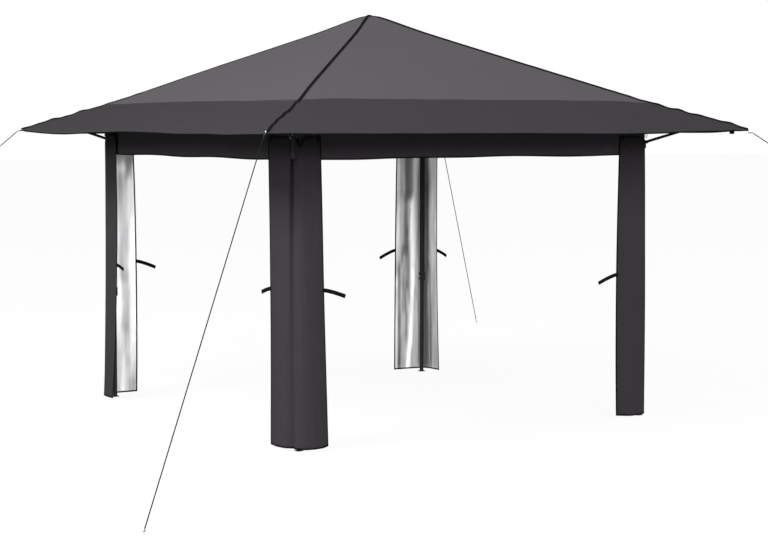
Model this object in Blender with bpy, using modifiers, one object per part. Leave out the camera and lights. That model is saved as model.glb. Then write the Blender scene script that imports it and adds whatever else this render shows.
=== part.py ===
"""Pop-up gazebo with four telescoping legs, a four-sided roof with eaves, valances,
corner curtains and four guy ropes.

Run with: blender --background --python part.py
Metres, +Z up. The origin is on the ground under the centre hub. The front side faces -Y.
"""
import math

import bmesh
import bpy
from mathutils import Matrix, Vector

# Driving dimensions
ROOF_HALF = 1.98            # half the roof's side, at the eave tips
PEAK_Z = 2.940              # height of the roof's peak
BEND_HALF = 1.486           # the sloping roof turns into the eave above the valance
BEND_Z = 2.282
EAVE_Z = 2.097              # height of the eave edge
CLOTH = 0.004               # thickness that stands for one layer of cloth
GAP = 0.0003                # what touching pieces keep between them

LEG_HALF = 1.442            # the four legs stand at +-LEG_HALF
OUTER_TUBE = 0.032          # square outer tube
OUTER_WALL = 0.0015
INNER_TUBE = 0.025          # square inner tube that slides in it
OUTER_BOTTOM_Z = 0.795
OUTER_TOP_Z = 2.200
INNER_TOP_Z = 1.140
COLLAR_HALF = 0.021         # plastic guide at the outer tube's lower end
COLLAR_HEIGHT = 0.065
FOOT_HALF = 0.035
FOOT_THICK = 0.005

BRACKET_APOTHEM = 0.030     # brackets are octagons, flat towards sides and corners
TOP_BRACKET_Z = (2.160, 2.277)
SLIDER_Z = (1.962, 2.022)
ROOF_BAR_Z = 2.262          # rafters and eave arms start here on the top bracket
RAFTER_R = 0.010
ARM_R = 0.008
ARM_END = 0.070             # an arm stops this far inside the roof's edge, along X and Y
BRACE_R = 0.007
BRACE_ROOT_Z = 2.008
BRACE_SLOPE = 0.32
TRUSS_R = 0.008
TRUSS_Z = (1.992, 2.236)
TRUSS_STEP = 0.003          # crossed bars lie this far to each side of the truss's middle

HUB_R = 0.075
HUB_Z = (2.810, 2.900)
CROWN_R = 0.050             # the hub's crown stands up through the roof's hole
PANEL_TOP_HALF = 0.056      # the roof panels end here, around the hub's crown
CAP_R = 0.085
CAP_BOTTOM_Z = 2.9162
CAP_CROWN = ((0.55, 0.002), (0.88, 0.010))      # share of the radius, depth below the peak
CAP_EDGE = 0.003
MOULD_EDGE = 0.004          # chamfer on the hub and its crown
HUB_TAPER = (0.8, 0.010)    # share of the radius at the hub's foot, height of the taper

VALANCE_BOTTOM_Z = 1.910
VALANCE_SLIT = 0.030        # a slit at each corner lets the arm and its brace through
CURTAIN_TOP_Z = 1.985
CURTAIN_BOTTOM_Z = 0.015
CURTAIN_WING = 0.270
CURTAIN_FLARE = 0.045       # the hem stands this much further out than the top
TIE_Z = 1.050               # the webbing ties' height
TIE_WIDTH = 0.022
TIE_LENGTH = 0.170
TIE_THICK = 0.003
TIE_SEWN = 0.015            # how far a tie reaches onto its curtain
TIE_DROOP = 15              # degrees that the ties hang below level

ROPE_R = 0.0022
ROPE_TOP_Z = 2.098
ROPE_BOTTOM_Z = 0.016
PEG_R = 0.0035
PEG_TOP_Z = 0.040
# Middle of the peg's wire: how far out along the hook, how far below the peg's top
PEG_HOOK = ((0.0, 0.010), (0.004, PEG_R), (0.016, PEG_R), (0.020, 0.014))

# Corner name, side of X, side of Y, where the guy rope's peg stands
CORNERS = (
    ("front_left", -1, -1, (-3.372, -3.180)),
    ("front_right", 1, -1, (4.094, -4.364)),
    ("back_right", 1, 1, (4.094, 4.364)),
    ("back_left", -1, 1, (-4.094, 3.200)),
)
# Side name and how far it is turned from the front side
SIDES = (("front", 0), ("right", 90), ("back", 180), ("left", 270))

ROOF_SLOPE = (PEAK_Z - BEND_Z) / BEND_HALF
EAVE_SLOPE = (BEND_Z - EAVE_Z) / (ROOF_HALF - BEND_HALF)
ROOT2 = math.sqrt(2)


def clear_scene():
    for obj in list(bpy.data.objects):
        bpy.data.objects.remove(obj, do_unlink=True)


def new_collection(name):
    collection = bpy.data.collections.new(name)
    bpy.context.scene.collection.children.link(collection)
    return collection


clear_scene()
PARTS = new_collection("gazebo")


def material(name, colour, roughness, metallic=0.0):
    mat = bpy.data.materials.new(name)
    mat.use_nodes = True
    shader = mat.node_tree.nodes["Principled BSDF"]
    shader.inputs["Base Color"].default_value = (*colour, 1.0)
    shader.inputs["Roughness"].default_value = roughness
    shader.inputs["Metallic"].default_value = metallic
    return mat


ROOF_CLOTH = material("roof_cloth", (0.14, 0.13, 0.14), 0.85)
VALANCE_CLOTH = material("valance_cloth", (0.03, 0.03, 0.03), 0.85)
CURTAIN_CLOTH = material("curtain_cloth", (0.05, 0.05, 0.05), 0.85)
FRAME_STEEL = material("frame_steel", (0.03, 0.03, 0.03), 0.45)
FRAME_PLASTIC = material("frame_plastic", (0.02, 0.02, 0.02), 0.55)
ROPE = material("rope", (0.35, 0.35, 0.35), 0.9)
PEG_STEEL = material("peg_steel", (0.55, 0.55, 0.56), 0.35, 1.0)


def add_object(name, data, mat):
    obj = bpy.data.objects.new(name, data)
    PARTS.objects.link(obj)
    obj.data.materials.append(mat)
    return obj


def turned(name, profile, mat, sides, closed=False):
    """A Screw-turned solid about the object's own Z. Sides 4 or 8 give flats facing X and Y."""
    mesh = bpy.data.meshes.new(name)
    count = len(profile)
    edges = [(i, i + 1) for i in range(count - 1)]
    if closed:
        edges.append((count - 1, 0))
    mesh.from_pydata([(r, 0.0, z) for r, z in profile], edges, [])
    obj = add_object(name, mesh, mat)
    screw = obj.modifiers.new("turn", "SCREW")
    screw.steps = sides
    screw.render_steps = sides
    screw.use_merge_vertices = True
    screw.merge_threshold = 0.00001
    screw.use_smooth_shade = sides > 8
    obj.rotation_euler.z = math.pi / sides
    return obj


def corner_radius(apothem, sides):
    return apothem / math.cos(math.pi / sides)


def rod(name, points, radius, mat):
    """A straight or bent round rod through the points."""
    curve = bpy.data.curves.new(name, "CURVE")
    curve.dimensions = "3D"
    curve.bevel_depth = radius
    curve.bevel_resolution = 2
    curve.use_fill_caps = True
    spline = curve.splines.new("POLY")
    spline.points.add(len(points) - 1)
    for point, place in zip(spline.points, points):
        point.co = (*place, 1.0)
    return add_object(name, curve, mat)


def as_mesh(obj):
    """Turn a curve object into a closed mesh object, so that it can be joined."""
    evaluated = obj.evaluated_get(bpy.context.evaluated_depsgraph_get())
    mesh = bpy.data.meshes.new_from_object(evaluated)
    bm = bmesh.new()
    bm.from_mesh(mesh)
    bmesh.ops.remove_doubles(bm, verts=bm.verts, dist=0.00001)
    bm.to_mesh(mesh)
    bm.free()
    name = obj.name
    solid = bpy.data.objects.new(name + "_mesh", mesh)
    solid.matrix_world = obj.matrix_world
    PARTS.objects.link(solid)
    bpy.data.objects.remove(obj, do_unlink=True)
    solid.name = name
    return solid


def join(target, tool):
    """Union the tool into the target and apply it."""
    union = target.modifiers.new("join", "BOOLEAN")
    union.operation = "UNION"
    union.solver = "EXACT"
    union.object = tool
    evaluated = target.evaluated_get(bpy.context.evaluated_depsgraph_get())
    mesh = bpy.data.meshes.new_from_object(evaluated)
    target.modifiers.clear()
    target.data = mesh
    bpy.data.objects.remove(tool, do_unlink=True)
    return target


def flat_shape(name, outline, thickness, mat):
    """A flat outline, filled and extruded to the thickness about its own plane."""
    curve = bpy.data.curves.new(name, "CURVE")
    curve.dimensions = "2D"
    curve.fill_mode = "BOTH"
    curve.extrude = thickness / 2
    spline = curve.splines.new("POLY")
    spline.points.add(len(outline) - 1)
    for point, (x, y) in zip(spline.points, outline):
        point.co = (x, y, 0.0, 1.0)
    spline.use_cyclic_u = True
    return add_object(name, curve, mat)


def roof_top(half):
    """Height of the roof's upper face where it is `half` out from the centre."""
    if half <= BEND_HALF:
        return PEAK_Z - ROOF_SLOPE * half
    return BEND_Z - EAVE_SLOPE * (half - BEND_HALF)


def diagonal(distance, z):
    """A place on the front left to back right diagonal, out from the centre."""
    return Vector((distance / ROOT2, distance / ROOT2, z))


def at_corner(obj, sx, sy):
    """Turn a piece that was made on the +X +Y diagonal to its own corner."""
    turn = math.atan2(sy, sx) - math.pi / 4
    obj.matrix_world = Matrix.Rotation(turn, 4, "Z") @ obj.matrix_world
    return obj


# Roof
def roof_panel(side, turn):
    """One side of the roof, from the hub's crown over the bend to the eave."""
    rows = (PANEL_TOP_HALF, BEND_HALF, ROOF_HALF)
    bm = bmesh.new()
    bmesh.ops.create_grid(bm, x_segments=1, y_segments=len(rows) - 1, size=1.0)
    for vert in bm.verts:
        half = rows[round((1.0 - vert.co.y) * (len(rows) - 1) / 2)]
        edge = math.copysign(half - GAP, vert.co.x)
        vert.co = (edge, -half, roof_top(half))
    top = list(bm.faces)
    grown = bmesh.ops.extrude_face_region(bm, geom=top)
    lower = [item for item in grown["geom"] if isinstance(item, bmesh.types.BMVert)]
    bmesh.ops.translate(bm, verts=lower, vec=(0.0, 0.0, -CLOTH))
    bmesh.ops.recalc_face_normals(bm, faces=bm.faces)
    mesh = bpy.data.meshes.new("roof_panel_" + side)
    bm.to_mesh(mesh)
    bm.free()
    panel = add_object("roof_panel_" + side, mesh, ROOF_CLOTH)
    panel.rotation_euler.z = math.radians(turn)


def peak_cap():
    """The stiffened patch over the hub, which rounds the roof's top."""
    crown = [(share * CAP_R, PEAK_Z - depth) for share, depth in CAP_CROWN]
    profile = (
        (0.0, PEAK_Z),
        *crown,
        (CAP_R, CAP_BOTTOM_Z + CAP_EDGE),
        (CAP_R, CAP_BOTTOM_Z),
        (0.0, CAP_BOTTOM_Z),
    )
    turned("peak_cap", profile, ROOF_CLOTH, 16)


def valance(side, turn):
    """The band that hangs from the bend. Its right end butts against the next side's band."""
    right = BEND_HALF - CLOTH - GAP
    left = -BEND_HALF
    top = roof_top(BEND_HALF) - CLOTH - GAP
    slit = BEND_HALF - VALANCE_SLIT
    outline = (
        (left, VALANCE_BOTTOM_Z), (right, VALANCE_BOTTOM_Z),
        (right, CURTAIN_TOP_Z), (slit, CURTAIN_TOP_Z), (slit, top),
        (-slit, top), (-slit, CURTAIN_TOP_Z), (left, CURTAIN_TOP_Z),
    )
    band = flat_shape("valance_" + side, outline, CLOTH, VALANCE_CLOTH)
    stand = Matrix.Rotation(math.pi / 2, 4, "X")
    place = Matrix.Translation((0.0, -BEND_HALF + CLOTH / 2, 0.0))
    band.matrix_world = Matrix.Rotation(math.radians(turn), 4, "Z") @ place @ stand


# Curtains
def strap(name, length, place):
    """A flat strip of webbing along +X from its own origin, as a piece to be joined on."""
    shape = Matrix.Translation((length / 2, 0.0, 0.0))
    shape @= Matrix.Diagonal((length, TIE_THICK, TIE_WIDTH, 1.0))
    bm = bmesh.new()
    bmesh.ops.create_cube(bm, size=1.0, matrix=place @ shape)
    mesh = bpy.data.meshes.new(name)
    bm.to_mesh(mesh)
    bm.free()
    return add_object(name, mesh, CURTAIN_CLOTH)


def corner_curtain(corner, sx, sy):
    """An L of cloth around the outside of a leg, with a webbing tie on each free edge."""
    inner = BEND_HALF + GAP
    outer = inner + CLOTH
    free = outer - CURTAIN_WING
    outline = (
        (outer, free), (outer, outer), (free, outer),
        (free, inner), (inner, inner), (inner, free),
    )
    height = CURTAIN_TOP_Z - CURTAIN_BOTTOM_Z
    curtain = flat_shape("corner_curtain_" + corner, outline, height, CURTAIN_CLOTH)
    curtain = as_mesh(curtain)
    middle = (CURTAIN_TOP_Z + CURTAIN_BOTTOM_Z) / 2
    for vert in curtain.data.vertices:
        if vert.co.z < 0.0:
            vert.co.x += CURTAIN_FLARE
            vert.co.y += CURTAIN_FLARE
        vert.co.z += middle
    flare = CURTAIN_FLARE * (CURTAIN_TOP_Z - TIE_Z) / height
    sewn = Vector((inner + CLOTH / 2 + flare, free + TIE_SEWN + flare, TIE_Z))
    droop = Matrix.Rotation(math.radians(TIE_DROOP), 4, "Y")
    along = Matrix.Translation(sewn) @ Matrix.Rotation(-math.pi / 2, 4, "Z") @ droop
    across = Matrix.Translation(sewn.yxz) @ Matrix.Rotation(math.pi, 4, "Z") @ droop
    curtain = join(curtain, strap("tie", TIE_LENGTH, along))
    curtain = join(curtain, strap("tie", TIE_LENGTH, across))
    at_corner(curtain, sx, sy)


# Frame
def centre_hub():
    """The hub that the rafters meet at. Its crown carries the roof's top."""
    crown = CAP_BOTTOM_Z - GAP
    low, high = HUB_Z
    share, taper = HUB_TAPER
    profile = (
        (0.0, crown),
        (CROWN_R - 2 * MOULD_EDGE, crown),
        (CROWN_R, crown - MOULD_EDGE),
        (CROWN_R, high),
        (HUB_R, high - MOULD_EDGE),
        (HUB_R, low + taper),
        (share * HUB_R, low),
        (0.0, low),
    )
    turned("centre_hub", profile, FRAME_PLASTIC, 16)


def rafter(corner, sx, sy):
    """From the top bracket up to the hub, touching the roof beside the hub."""
    tilt = math.atan(ROOF_SLOPE / ROOT2)
    lean = RAFTER_R * math.sin(tilt)
    low = diagonal(LEG_HALF * ROOT2 - BRACKET_APOTHEM - lean - GAP, ROOF_BAR_Z)
    under = (RAFTER_R + GAP) * math.sqrt(1 + ROOF_SLOPE ** 2)
    seat = diagonal(PANEL_TOP_HALF * ROOT2, roof_top(PANEL_TOP_HALF) - CLOTH - under)
    end = HUB_R + lean + GAP
    run = (low - seat).normalized()
    high = seat - run * ((PANEL_TOP_HALF * ROOT2 - end) / (run.xy.length))
    at_corner(rod("rafter_" + corner, (high, low), RAFTER_R, FRAME_STEEL), sx, sy)


def arm_ends():
    """Both ends of an eave arm: at the top bracket, and under the roof near its tip."""
    start = LEG_HALF * ROOT2 + BRACKET_APOTHEM + GAP
    half = ROOF_HALF - ARM_END
    under = (ARM_R + GAP) * math.sqrt(1 + EAVE_SLOPE ** 2)
    tip = diagonal(half * ROOT2, roof_top(half) - CLOTH - under)
    root = diagonal(start, ROOF_BAR_Z)
    lean = ARM_R * (root.z - tip.z) / (tip - root).length
    return diagonal(start + lean, ROOF_BAR_Z), tip


def eave_arm(corner, sx, sy):
    at_corner(rod("eave_arm_" + corner, arm_ends(), ARM_R, FRAME_STEEL), sx, sy)


def eave_brace(corner, sx, sy):
    """From the slider up and out to the underside of the eave arm."""
    root, tip = arm_ends()
    fall = (root.z - tip.z) / (tip.xy.length - root.xy.length)
    angle = math.atan(BRACE_SLOPE)
    start = LEG_HALF * ROOT2 + BRACKET_APOTHEM + BRACE_R * math.sin(angle) + GAP
    level = ROOF_BAR_Z - fall * (start - root.xy.length)
    reach = (level - BRACE_ROOT_Z) / (BRACE_SLOPE + fall)
    meeting = angle + math.atan(fall)
    short = (ARM_R + GAP + BRACE_R * math.cos(meeting)) / math.sin(meeting)
    reach -= short * math.cos(angle)
    low = diagonal(start, BRACE_ROOT_Z)
    high = diagonal(start + reach, BRACE_ROOT_Z + BRACE_SLOPE * reach)
    at_corner(rod("eave_brace_" + corner, (low, high), BRACE_R, FRAME_STEEL), sx, sy)


def top_bracket(corner, sx, sy):
    """The moulding on top of a leg that the side, roof and eave bars are pinned to."""
    low, high = TOP_BRACKET_Z
    outer = corner_radius(BRACKET_APOTHEM, 8)
    bore = corner_radius(OUTER_TUBE / ROOT2 + GAP, 8)
    seat = OUTER_TOP_Z + GAP
    profile = ((0.0, high), (outer, high), (outer, low), (bore, low), (bore, seat), (0.0, seat))
    bracket = turned("top_bracket_" + corner, profile, FRAME_PLASTIC, 8)
    bracket.location = (sx * LEG_HALF, sy * LEG_HALF, 0.0)


def slider(corner, sx, sy):
    """The moulding around a leg that the lower side bars and the eave brace are pinned to."""
    low, high = SLIDER_Z
    outer = corner_radius(BRACKET_APOTHEM, 8)
    bore = corner_radius(OUTER_TUBE / ROOT2 + GAP, 8)
    profile = ((outer, high), (outer, low), (bore, low), (bore, high))
    ring = turned("slider_" + corner, profile, FRAME_PLASTIC, 8, closed=True)
    ring.location = (sx * LEG_HALF, sy * LEG_HALF, 0.0)


def side_truss(side, turn):
    """Two crossed pairs of bars between two legs, fused where they cross."""
    low, high = TRUSS_Z
    reach = LEG_HALF - BRACKET_APOTHEM - GAP
    lean = TRUSS_R * (high - low) / math.hypot(reach, high - low)
    end = reach - lean
    step = TRUSS_STEP
    falling = ((-end, step, high), (0, step, low), (end, step, high))
    rising = ((-end, -step, low), (0, -step, high), (end, -step, low))
    truss = join(as_mesh(rod("falling", falling, TRUSS_R, FRAME_STEEL)),
                 as_mesh(rod("rising", rising, TRUSS_R, FRAME_STEEL)))
    truss.name = "side_truss_" + side
    place = Matrix.Translation((0.0, -LEG_HALF, 0.0))
    truss.matrix_world = Matrix.Rotation(math.radians(turn), 4, "Z") @ place


# Legs
def leg_outer(corner, sx, sy):
    """The upper, fixed tube of a leg, with the guide that the inner tube runs in."""
    tube = corner_radius(OUTER_TUBE / 2, 4)
    hollow = corner_radius(OUTER_TUBE / 2 - OUTER_WALL, 4)
    collar = corner_radius(COLLAR_HALF, 4)
    bore = corner_radius(INNER_TUBE / 2 + GAP, 4)
    shoulder = OUTER_BOTTOM_Z + COLLAR_HEIGHT
    profile = (
        (tube, OUTER_TOP_Z), (tube, shoulder), (collar, shoulder), (collar, OUTER_BOTTOM_Z),
        (bore, OUTER_BOTTOM_Z), (bore, shoulder), (hollow, shoulder), (hollow, OUTER_TOP_Z),
    )
    leg = turned("leg_outer_" + corner, profile, FRAME_STEEL, 4, closed=True)
    leg.location = (sx * LEG_HALF, sy * LEG_HALF, 0.0)


def leg_inner(corner, sx, sy):
    """The lower, sliding tube of a leg, welded to its foot plate."""
    tube = corner_radius(INNER_TUBE / 2, 4)
    foot = corner_radius(FOOT_HALF, 4)
    profile = (
        (0.0, INNER_TOP_Z), (tube, INNER_TOP_Z), (tube, FOOT_THICK),
        (foot, FOOT_THICK), (foot, 0.0), (0.0, 0.0),
    )
    leg = turned("leg_inner_" + corner, profile, FRAME_STEEL, 4)
    leg.location = (sx * LEG_HALF, sy * LEG_HALF, 0.0)


# Guy ropes
def ground_peg(corner, sx, sy, peg):
    """The part of a hooked peg that stands above the ground. The hook turns away."""
    out = Vector((sx, sy, 0.0)).normalized()
    foot = Vector((*peg, 0.0))
    hook = [foot + out * reach + Vector((0, 0, PEG_TOP_Z - depth)) for reach, depth in PEG_HOOK]
    points = (foot, *hook)
    rod("ground_peg_" + corner, points, PEG_R, PEG_STEEL)


def guy_rope(corner, sx, sy, peg):
    """A taut rope from the roof's tip to its peg."""
    tip = Vector((sx * ROOF_HALF, sy * ROOF_HALF, ROPE_TOP_Z))
    foot = Vector((*peg, ROPE_BOTTOM_Z))
    run = (foot - tip).normalized()
    lean = ROPE_R * abs(run.z)
    start = tip + run * ((GAP + lean) / run.xy.length)
    end = foot - run * ((PEG_R + GAP + lean) / run.xy.length)
    rod("guy_rope_" + corner, (start, end), ROPE_R, ROPE)


for side, turn in SIDES:
    roof_panel(side, turn)
    valance(side, turn)
    side_truss(side, turn)
peak_cap()
centre_hub()
for corner, sx, sy, peg in CORNERS:
    rafter(corner, sx, sy)
    eave_arm(corner, sx, sy)
    eave_brace(corner, sx, sy)
    top_bracket(corner, sx, sy)
    slider(corner, sx, sy)
    leg_outer(corner, sx, sy)
    leg_inner(corner, sx, sy)
    corner_curtain(corner, sx, sy)
    ground_peg(corner, sx, sy, peg)
    guy_rope(corner, sx, sy, peg)
print("pieces:", len(PARTS.objects))
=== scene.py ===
# %% [markdown]
# # Dressing a pop-up gazebo
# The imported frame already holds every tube, bracket and panel of the gazebo at its real
# size. This lesson puts the real surfaces on it, one piece at a time: sewn cloth with
# bound seams, silver-backed corner curtains, powder-coated tube, nylon joints, webbing
# and rope. A piece that replaces a plain solid stays in the place of that solid.

# %% Load the frame
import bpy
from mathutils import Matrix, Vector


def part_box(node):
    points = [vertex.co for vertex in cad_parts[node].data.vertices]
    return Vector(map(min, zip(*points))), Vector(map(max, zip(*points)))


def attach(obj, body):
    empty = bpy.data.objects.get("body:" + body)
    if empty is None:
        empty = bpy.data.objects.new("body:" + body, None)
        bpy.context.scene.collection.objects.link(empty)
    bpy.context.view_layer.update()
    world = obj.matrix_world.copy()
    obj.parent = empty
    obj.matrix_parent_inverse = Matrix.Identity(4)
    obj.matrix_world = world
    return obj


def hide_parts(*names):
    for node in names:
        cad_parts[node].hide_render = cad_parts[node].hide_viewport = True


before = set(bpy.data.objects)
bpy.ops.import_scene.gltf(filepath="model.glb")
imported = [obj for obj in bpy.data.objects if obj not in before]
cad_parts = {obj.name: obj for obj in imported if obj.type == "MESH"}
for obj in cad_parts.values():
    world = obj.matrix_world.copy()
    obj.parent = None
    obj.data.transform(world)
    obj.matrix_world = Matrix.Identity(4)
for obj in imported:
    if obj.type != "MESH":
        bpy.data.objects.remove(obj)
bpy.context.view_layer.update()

# %% [markdown]
# ## Sizes that everything hangs on
# The sizes come from the frame, so that the cloth meets the tubes wherever they are.
# The four corners and the four sides repeat, so each gets a short description here: a
# corner is its signs of X and Y, and a side is how far it is turned from the front.

# %% Read the main sizes
import math

import bmesh
import bpy
from mathutils import Matrix, Vector, noise

CORNERS = {
    "front_left": (-1, -1),
    "front_right": (1, -1),
    "back_right": (1, 1),
    "back_left": (-1, 1),
}
SIDES = ("front", "right", "back", "left")
ROOT2 = math.sqrt(2)
UP = Vector((0, 0, 1))


def box(node):
    """The lowest and the highest corner of a node's solid."""
    return [Vector(corner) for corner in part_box(node)]


outer_low, outer_high = box("leg_outer_back_right")
panel_low, panel_high = box("roof_panel_right")
band_low, band_high = box("valance_right")
curtain_low, curtain_high = box("corner_curtain_back_right")

LEG = (outer_low.x + outer_high.x) / 2      # the legs stand at +-LEG
ROOF_HALF = panel_high.x
PEAK_Z = box("peak_cap")[1].z
CAD_CLOTH = 0.004                           # the solids' cloth is this thick
CLOTH_RIDE = 0.004                          # the cloth rides this far above the solids
EAVE_Z = panel_low.z + CAD_CLOTH
BEND = band_high.x                          # the roof bends above the valance
BEND_Z = band_high.z + CAD_CLOTH
FOLD_Z = BEND_Z + CLOTH_RIDE
SLOPE_ROOF = (PEAK_Z - FOLD_Z) / BEND
SLOPE_EAVE = (FOLD_Z - EAVE_Z) / (ROOF_HALF - BEND)
print(f"legs {2 * LEG:.3f} m apart, roof {2 * ROOF_HALF:.2f} m, peak {PEAK_Z:.2f} m")

# %% [markdown]
# ## The camera
# The picture was taken from just above the eaves with a longish lens, seven metres to
# the left and twelve in front. The view was found by fitting the roof's tips, the legs
# and the ridges at once, so it is written as a place, three angles and a focal length.

# %% Set the camera
EYE = Vector((-7.4995, -11.9846, 2.1396))
YAW = math.radians(32.499)                  # turned right from +Y
PITCH = math.radians(-4.628)
ROLL = math.radians(0.122)
LENS_MM = 87.87
SENSOR_MM = 36.0


def camera_axes(yaw, pitch, roll):
    """Right, up and backward of a camera that looks along +Y before it is turned."""
    ahead = Vector((math.sin(yaw) * math.cos(pitch), math.cos(yaw) * math.cos(pitch),
                    math.sin(pitch)))
    level = Vector((math.cos(yaw), -math.sin(yaw), 0.0))
    over = level.cross(ahead)
    right = math.cos(roll) * level + math.sin(roll) * over
    up = -math.sin(roll) * level + math.cos(roll) * over
    return right, up, -ahead


camera = bpy.data.objects.new("camera", bpy.data.cameras.new("camera"))
bpy.context.scene.collection.objects.link(camera)
camera.data.sensor_width = SENSOR_MM
camera.data.lens = LENS_MM
turn = Matrix(camera_axes(YAW, PITCH, ROLL)).transposed().to_4x4()
camera.matrix_world = Matrix.Translation(EYE) @ turn
bpy.context.scene.camera = camera
print(f"camera at {tuple(round(c, 2) for c in EYE)}, {LENS_MM} mm")

# %% [markdown]
# ## Nodes in few words
# Finishes, the sky and Geometry Nodes are all trees of linked nodes. These helpers keep
# them short: one makes a node and fills its inputs, with a link where another node is
# given and a plain value elsewhere, and the others do sums and colour ramps.

# %% Node helpers
def feed(tree, node, inputs):
    """Fill a node's inputs, by name or number, with other nodes, sockets or values."""
    for label, value in inputs.items():
        if isinstance(value, bpy.types.Node):
            value = value.outputs[0]
        if isinstance(value, bpy.types.NodeSocket):
            tree.links.new(value, node.inputs[label])
        else:
            node.inputs[label].default_value = value
    return node


def add_node(tree, kind, inputs, **settings):
    node = tree.nodes.new(kind)
    for name, value in settings.items():
        setattr(node, name, value)
    return feed(tree, node, inputs)


def maths(tree, operation, first, second=0.0, clamp=False):
    return add_node(tree, "ShaderNodeMath", {0: first, 1: second}, operation=operation,
                    use_clamp=clamp)


def colour_ramp(tree, factor, stops):
    """A ramp through stops of (position, colour), the first at 0 and the last at 1."""
    ramp = add_node(tree, "ShaderNodeValToRGB", {"Fac": factor})
    elements = ramp.color_ramp.elements
    for position, _ in stops[1:-1]:
        elements.new(position)
    for element, (_, colour) in zip(elements, stops):
        element.color = (*colour, 1.0)
    return ramp


print("node helpers ready")

# %% [markdown]
# ## Floor and light
# The picture is a product cut-out: white all round, with a soft band of light just above
# the horizon, a broad lamp high on the left and a weaker one in front, and little light
# from below, so that the eaves shade the cloth under them. So the sky's strength follows
# the height above the horizon, from a list. Where the camera looks, it is just white.
# The floor is dim, and glows a little like the lit sweep of a studio, so that it looks
# white without throwing much light up under the eaves.

# %% Stage
FLOOR_HALF = 90.0
FLOOR_TONE = 0.014
FLOOR_GLOW = 0.935
FLOOR_DROP = 0.002                          # keeps the floor just below the feet
WHITE = (1.0, 1.0, 1.0, 1.0)

# Sine of the elevation, and how bright the sky is there
SKY = ((0.0, 1.0), (0.10, 1.0), (0.16, 11.5), (0.33, 11.5), (0.38, 3.0), (0.56, 3.0),
       (0.70, 1.0), (1.0, 1.0))
SKY_BRIGHTEST = max(strength for _, strength in SKY)


def plain_material(name, colour, roughness, metallic=0.0):
    """A new material, its node tree and its shader."""
    mat = bpy.data.materials.new(name)
    mat.use_nodes = True
    tree = mat.node_tree
    shader = feed(tree, tree.nodes["Principled BSDF"], {
        "Base Color": (*colour, 1.0), "Roughness": roughness, "Metallic": metallic})
    return mat, tree, shader


floor_mesh = bpy.data.meshes.new("floor")
floor_bm = bmesh.new()
bmesh.ops.create_grid(floor_bm, x_segments=2, y_segments=2, size=FLOOR_HALF)
floor_bm.to_mesh(floor_mesh)
floor_bm.free()
floor = bpy.data.objects.new("floor", floor_mesh)
floor.location.z = -FLOOR_DROP
sweep, sweep_tree, sweep_shader = plain_material("studio_floor", (FLOOR_TONE,) * 3, 0.9)
feed(sweep_tree, sweep_shader, {"Specular IOR Level": 0.0, "Emission Color": WHITE,
                                "Emission Strength": FLOOR_GLOW})
floor_mesh.materials.append(sweep)
bpy.context.scene.collection.objects.link(floor)

world = bpy.data.worlds.new("studio")
bpy.context.scene.world = world
world.use_nodes = True
heavens = world.node_tree
direction = heavens.nodes.new("ShaderNodeTexCoord").outputs["Generated"]
sine = add_node(heavens, "ShaderNodeSeparateXYZ", {0: direction}).outputs["Z"]
tones = colour_ramp(heavens, sine, [(at, (tone / SKY_BRIGHTEST,) * 3) for at, tone in SKY])
feed(heavens, heavens.nodes["Background"],
     {"Color": WHITE, "Strength": maths(heavens, "MULTIPLY", tones, SKY_BRIGHTEST)})
bpy.context.scene.view_settings.view_transform = "Standard"


def lamp(name, place, target, size, watts):
    light = bpy.data.lights.new(name, "AREA")
    light.shape = "SQUARE"
    light.size = size
    light.energy = watts
    obj = bpy.data.objects.new(name, light)
    obj.location = place
    obj.rotation_euler = (Vector(target) - Vector(place)).to_track_quat("-Z", "Y").to_euler()
    bpy.context.scene.collection.objects.link(obj)


lamp("key", (-10.6, -1.9, 11.2), (0.0, 0.0, 1.5), 5.0, 6850.0)
lamp("fill", (-2.0, -11.2, 10.4), (0.0, 0.0, 1.5), 5.0, 2600.0)
print("stage and lamps set")

# %% [markdown]
# ## Small building helpers
# Almost every hard piece here is one of four things: a profile swept along stations, a
# profile turned about an axis, a stack of rounded squares, or a box with softened edges.
# They all add to an open bmesh, so that a bracket and its bolts become one piece.

# %% Mesh helpers
PIECES = bpy.data.collections.new("dressing")
bpy.context.scene.collection.children.link(PIECES)
SHARP = math.radians(38)


def circle(radius, count, start=0.0):
    step = 2 * math.pi / count
    return [(radius * math.cos(start + i * step), radius * math.sin(start + i * step))
            for i in range(count)]


def rounded_rect(width, height, radius, steps=3):
    """A rounded rectangle about its middle, anticlockwise."""
    points = []
    for quarter, (sx, sy) in enumerate(((1, 1), (-1, 1), (-1, -1), (1, -1))):
        cx = sx * (width / 2 - radius)
        cy = sy * (height / 2 - radius)
        for i in range(steps + 1):
            angle = math.pi / 2 * (quarter + i / steps)
            points.append((cx + radius * math.cos(angle), cy + radius * math.sin(angle)))
    return points


def skin(bm, rings, closed_ends=True, loop=False, slot=0):
    """Quads between rings of points, capped or joined end to start."""
    rows = [[bm.verts.new(p) for p in ring] for ring in rings]
    pairs = list(zip(rows, rows[1:]))
    if loop:
        pairs.append((rows[-1], rows[0]))
    faces = []
    count = len(rows[0])
    for lower, upper in pairs:
        for i in range(count):
            j = (i + 1) % count
            faces.append(bm.faces.new((lower[i], lower[j], upper[j], upper[i])))
    if closed_ends and not loop:
        faces.append(bm.faces.new(rows[0][::-1]))
        faces.append(bm.faces.new(rows[-1]))
    for face in faces:
        face.material_index = slot
    if closed_ends or loop:
        bmesh.ops.recalc_face_normals(bm, faces=faces)


def add_sweep(bm, stations, profile, slot=0):
    """A profile carried along stations of (point, U axis, V axis)."""
    rings = [[p + u * a + v * b for a, b in profile] for p, u, v in stations]
    skin(bm, rings, slot=slot)


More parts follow.
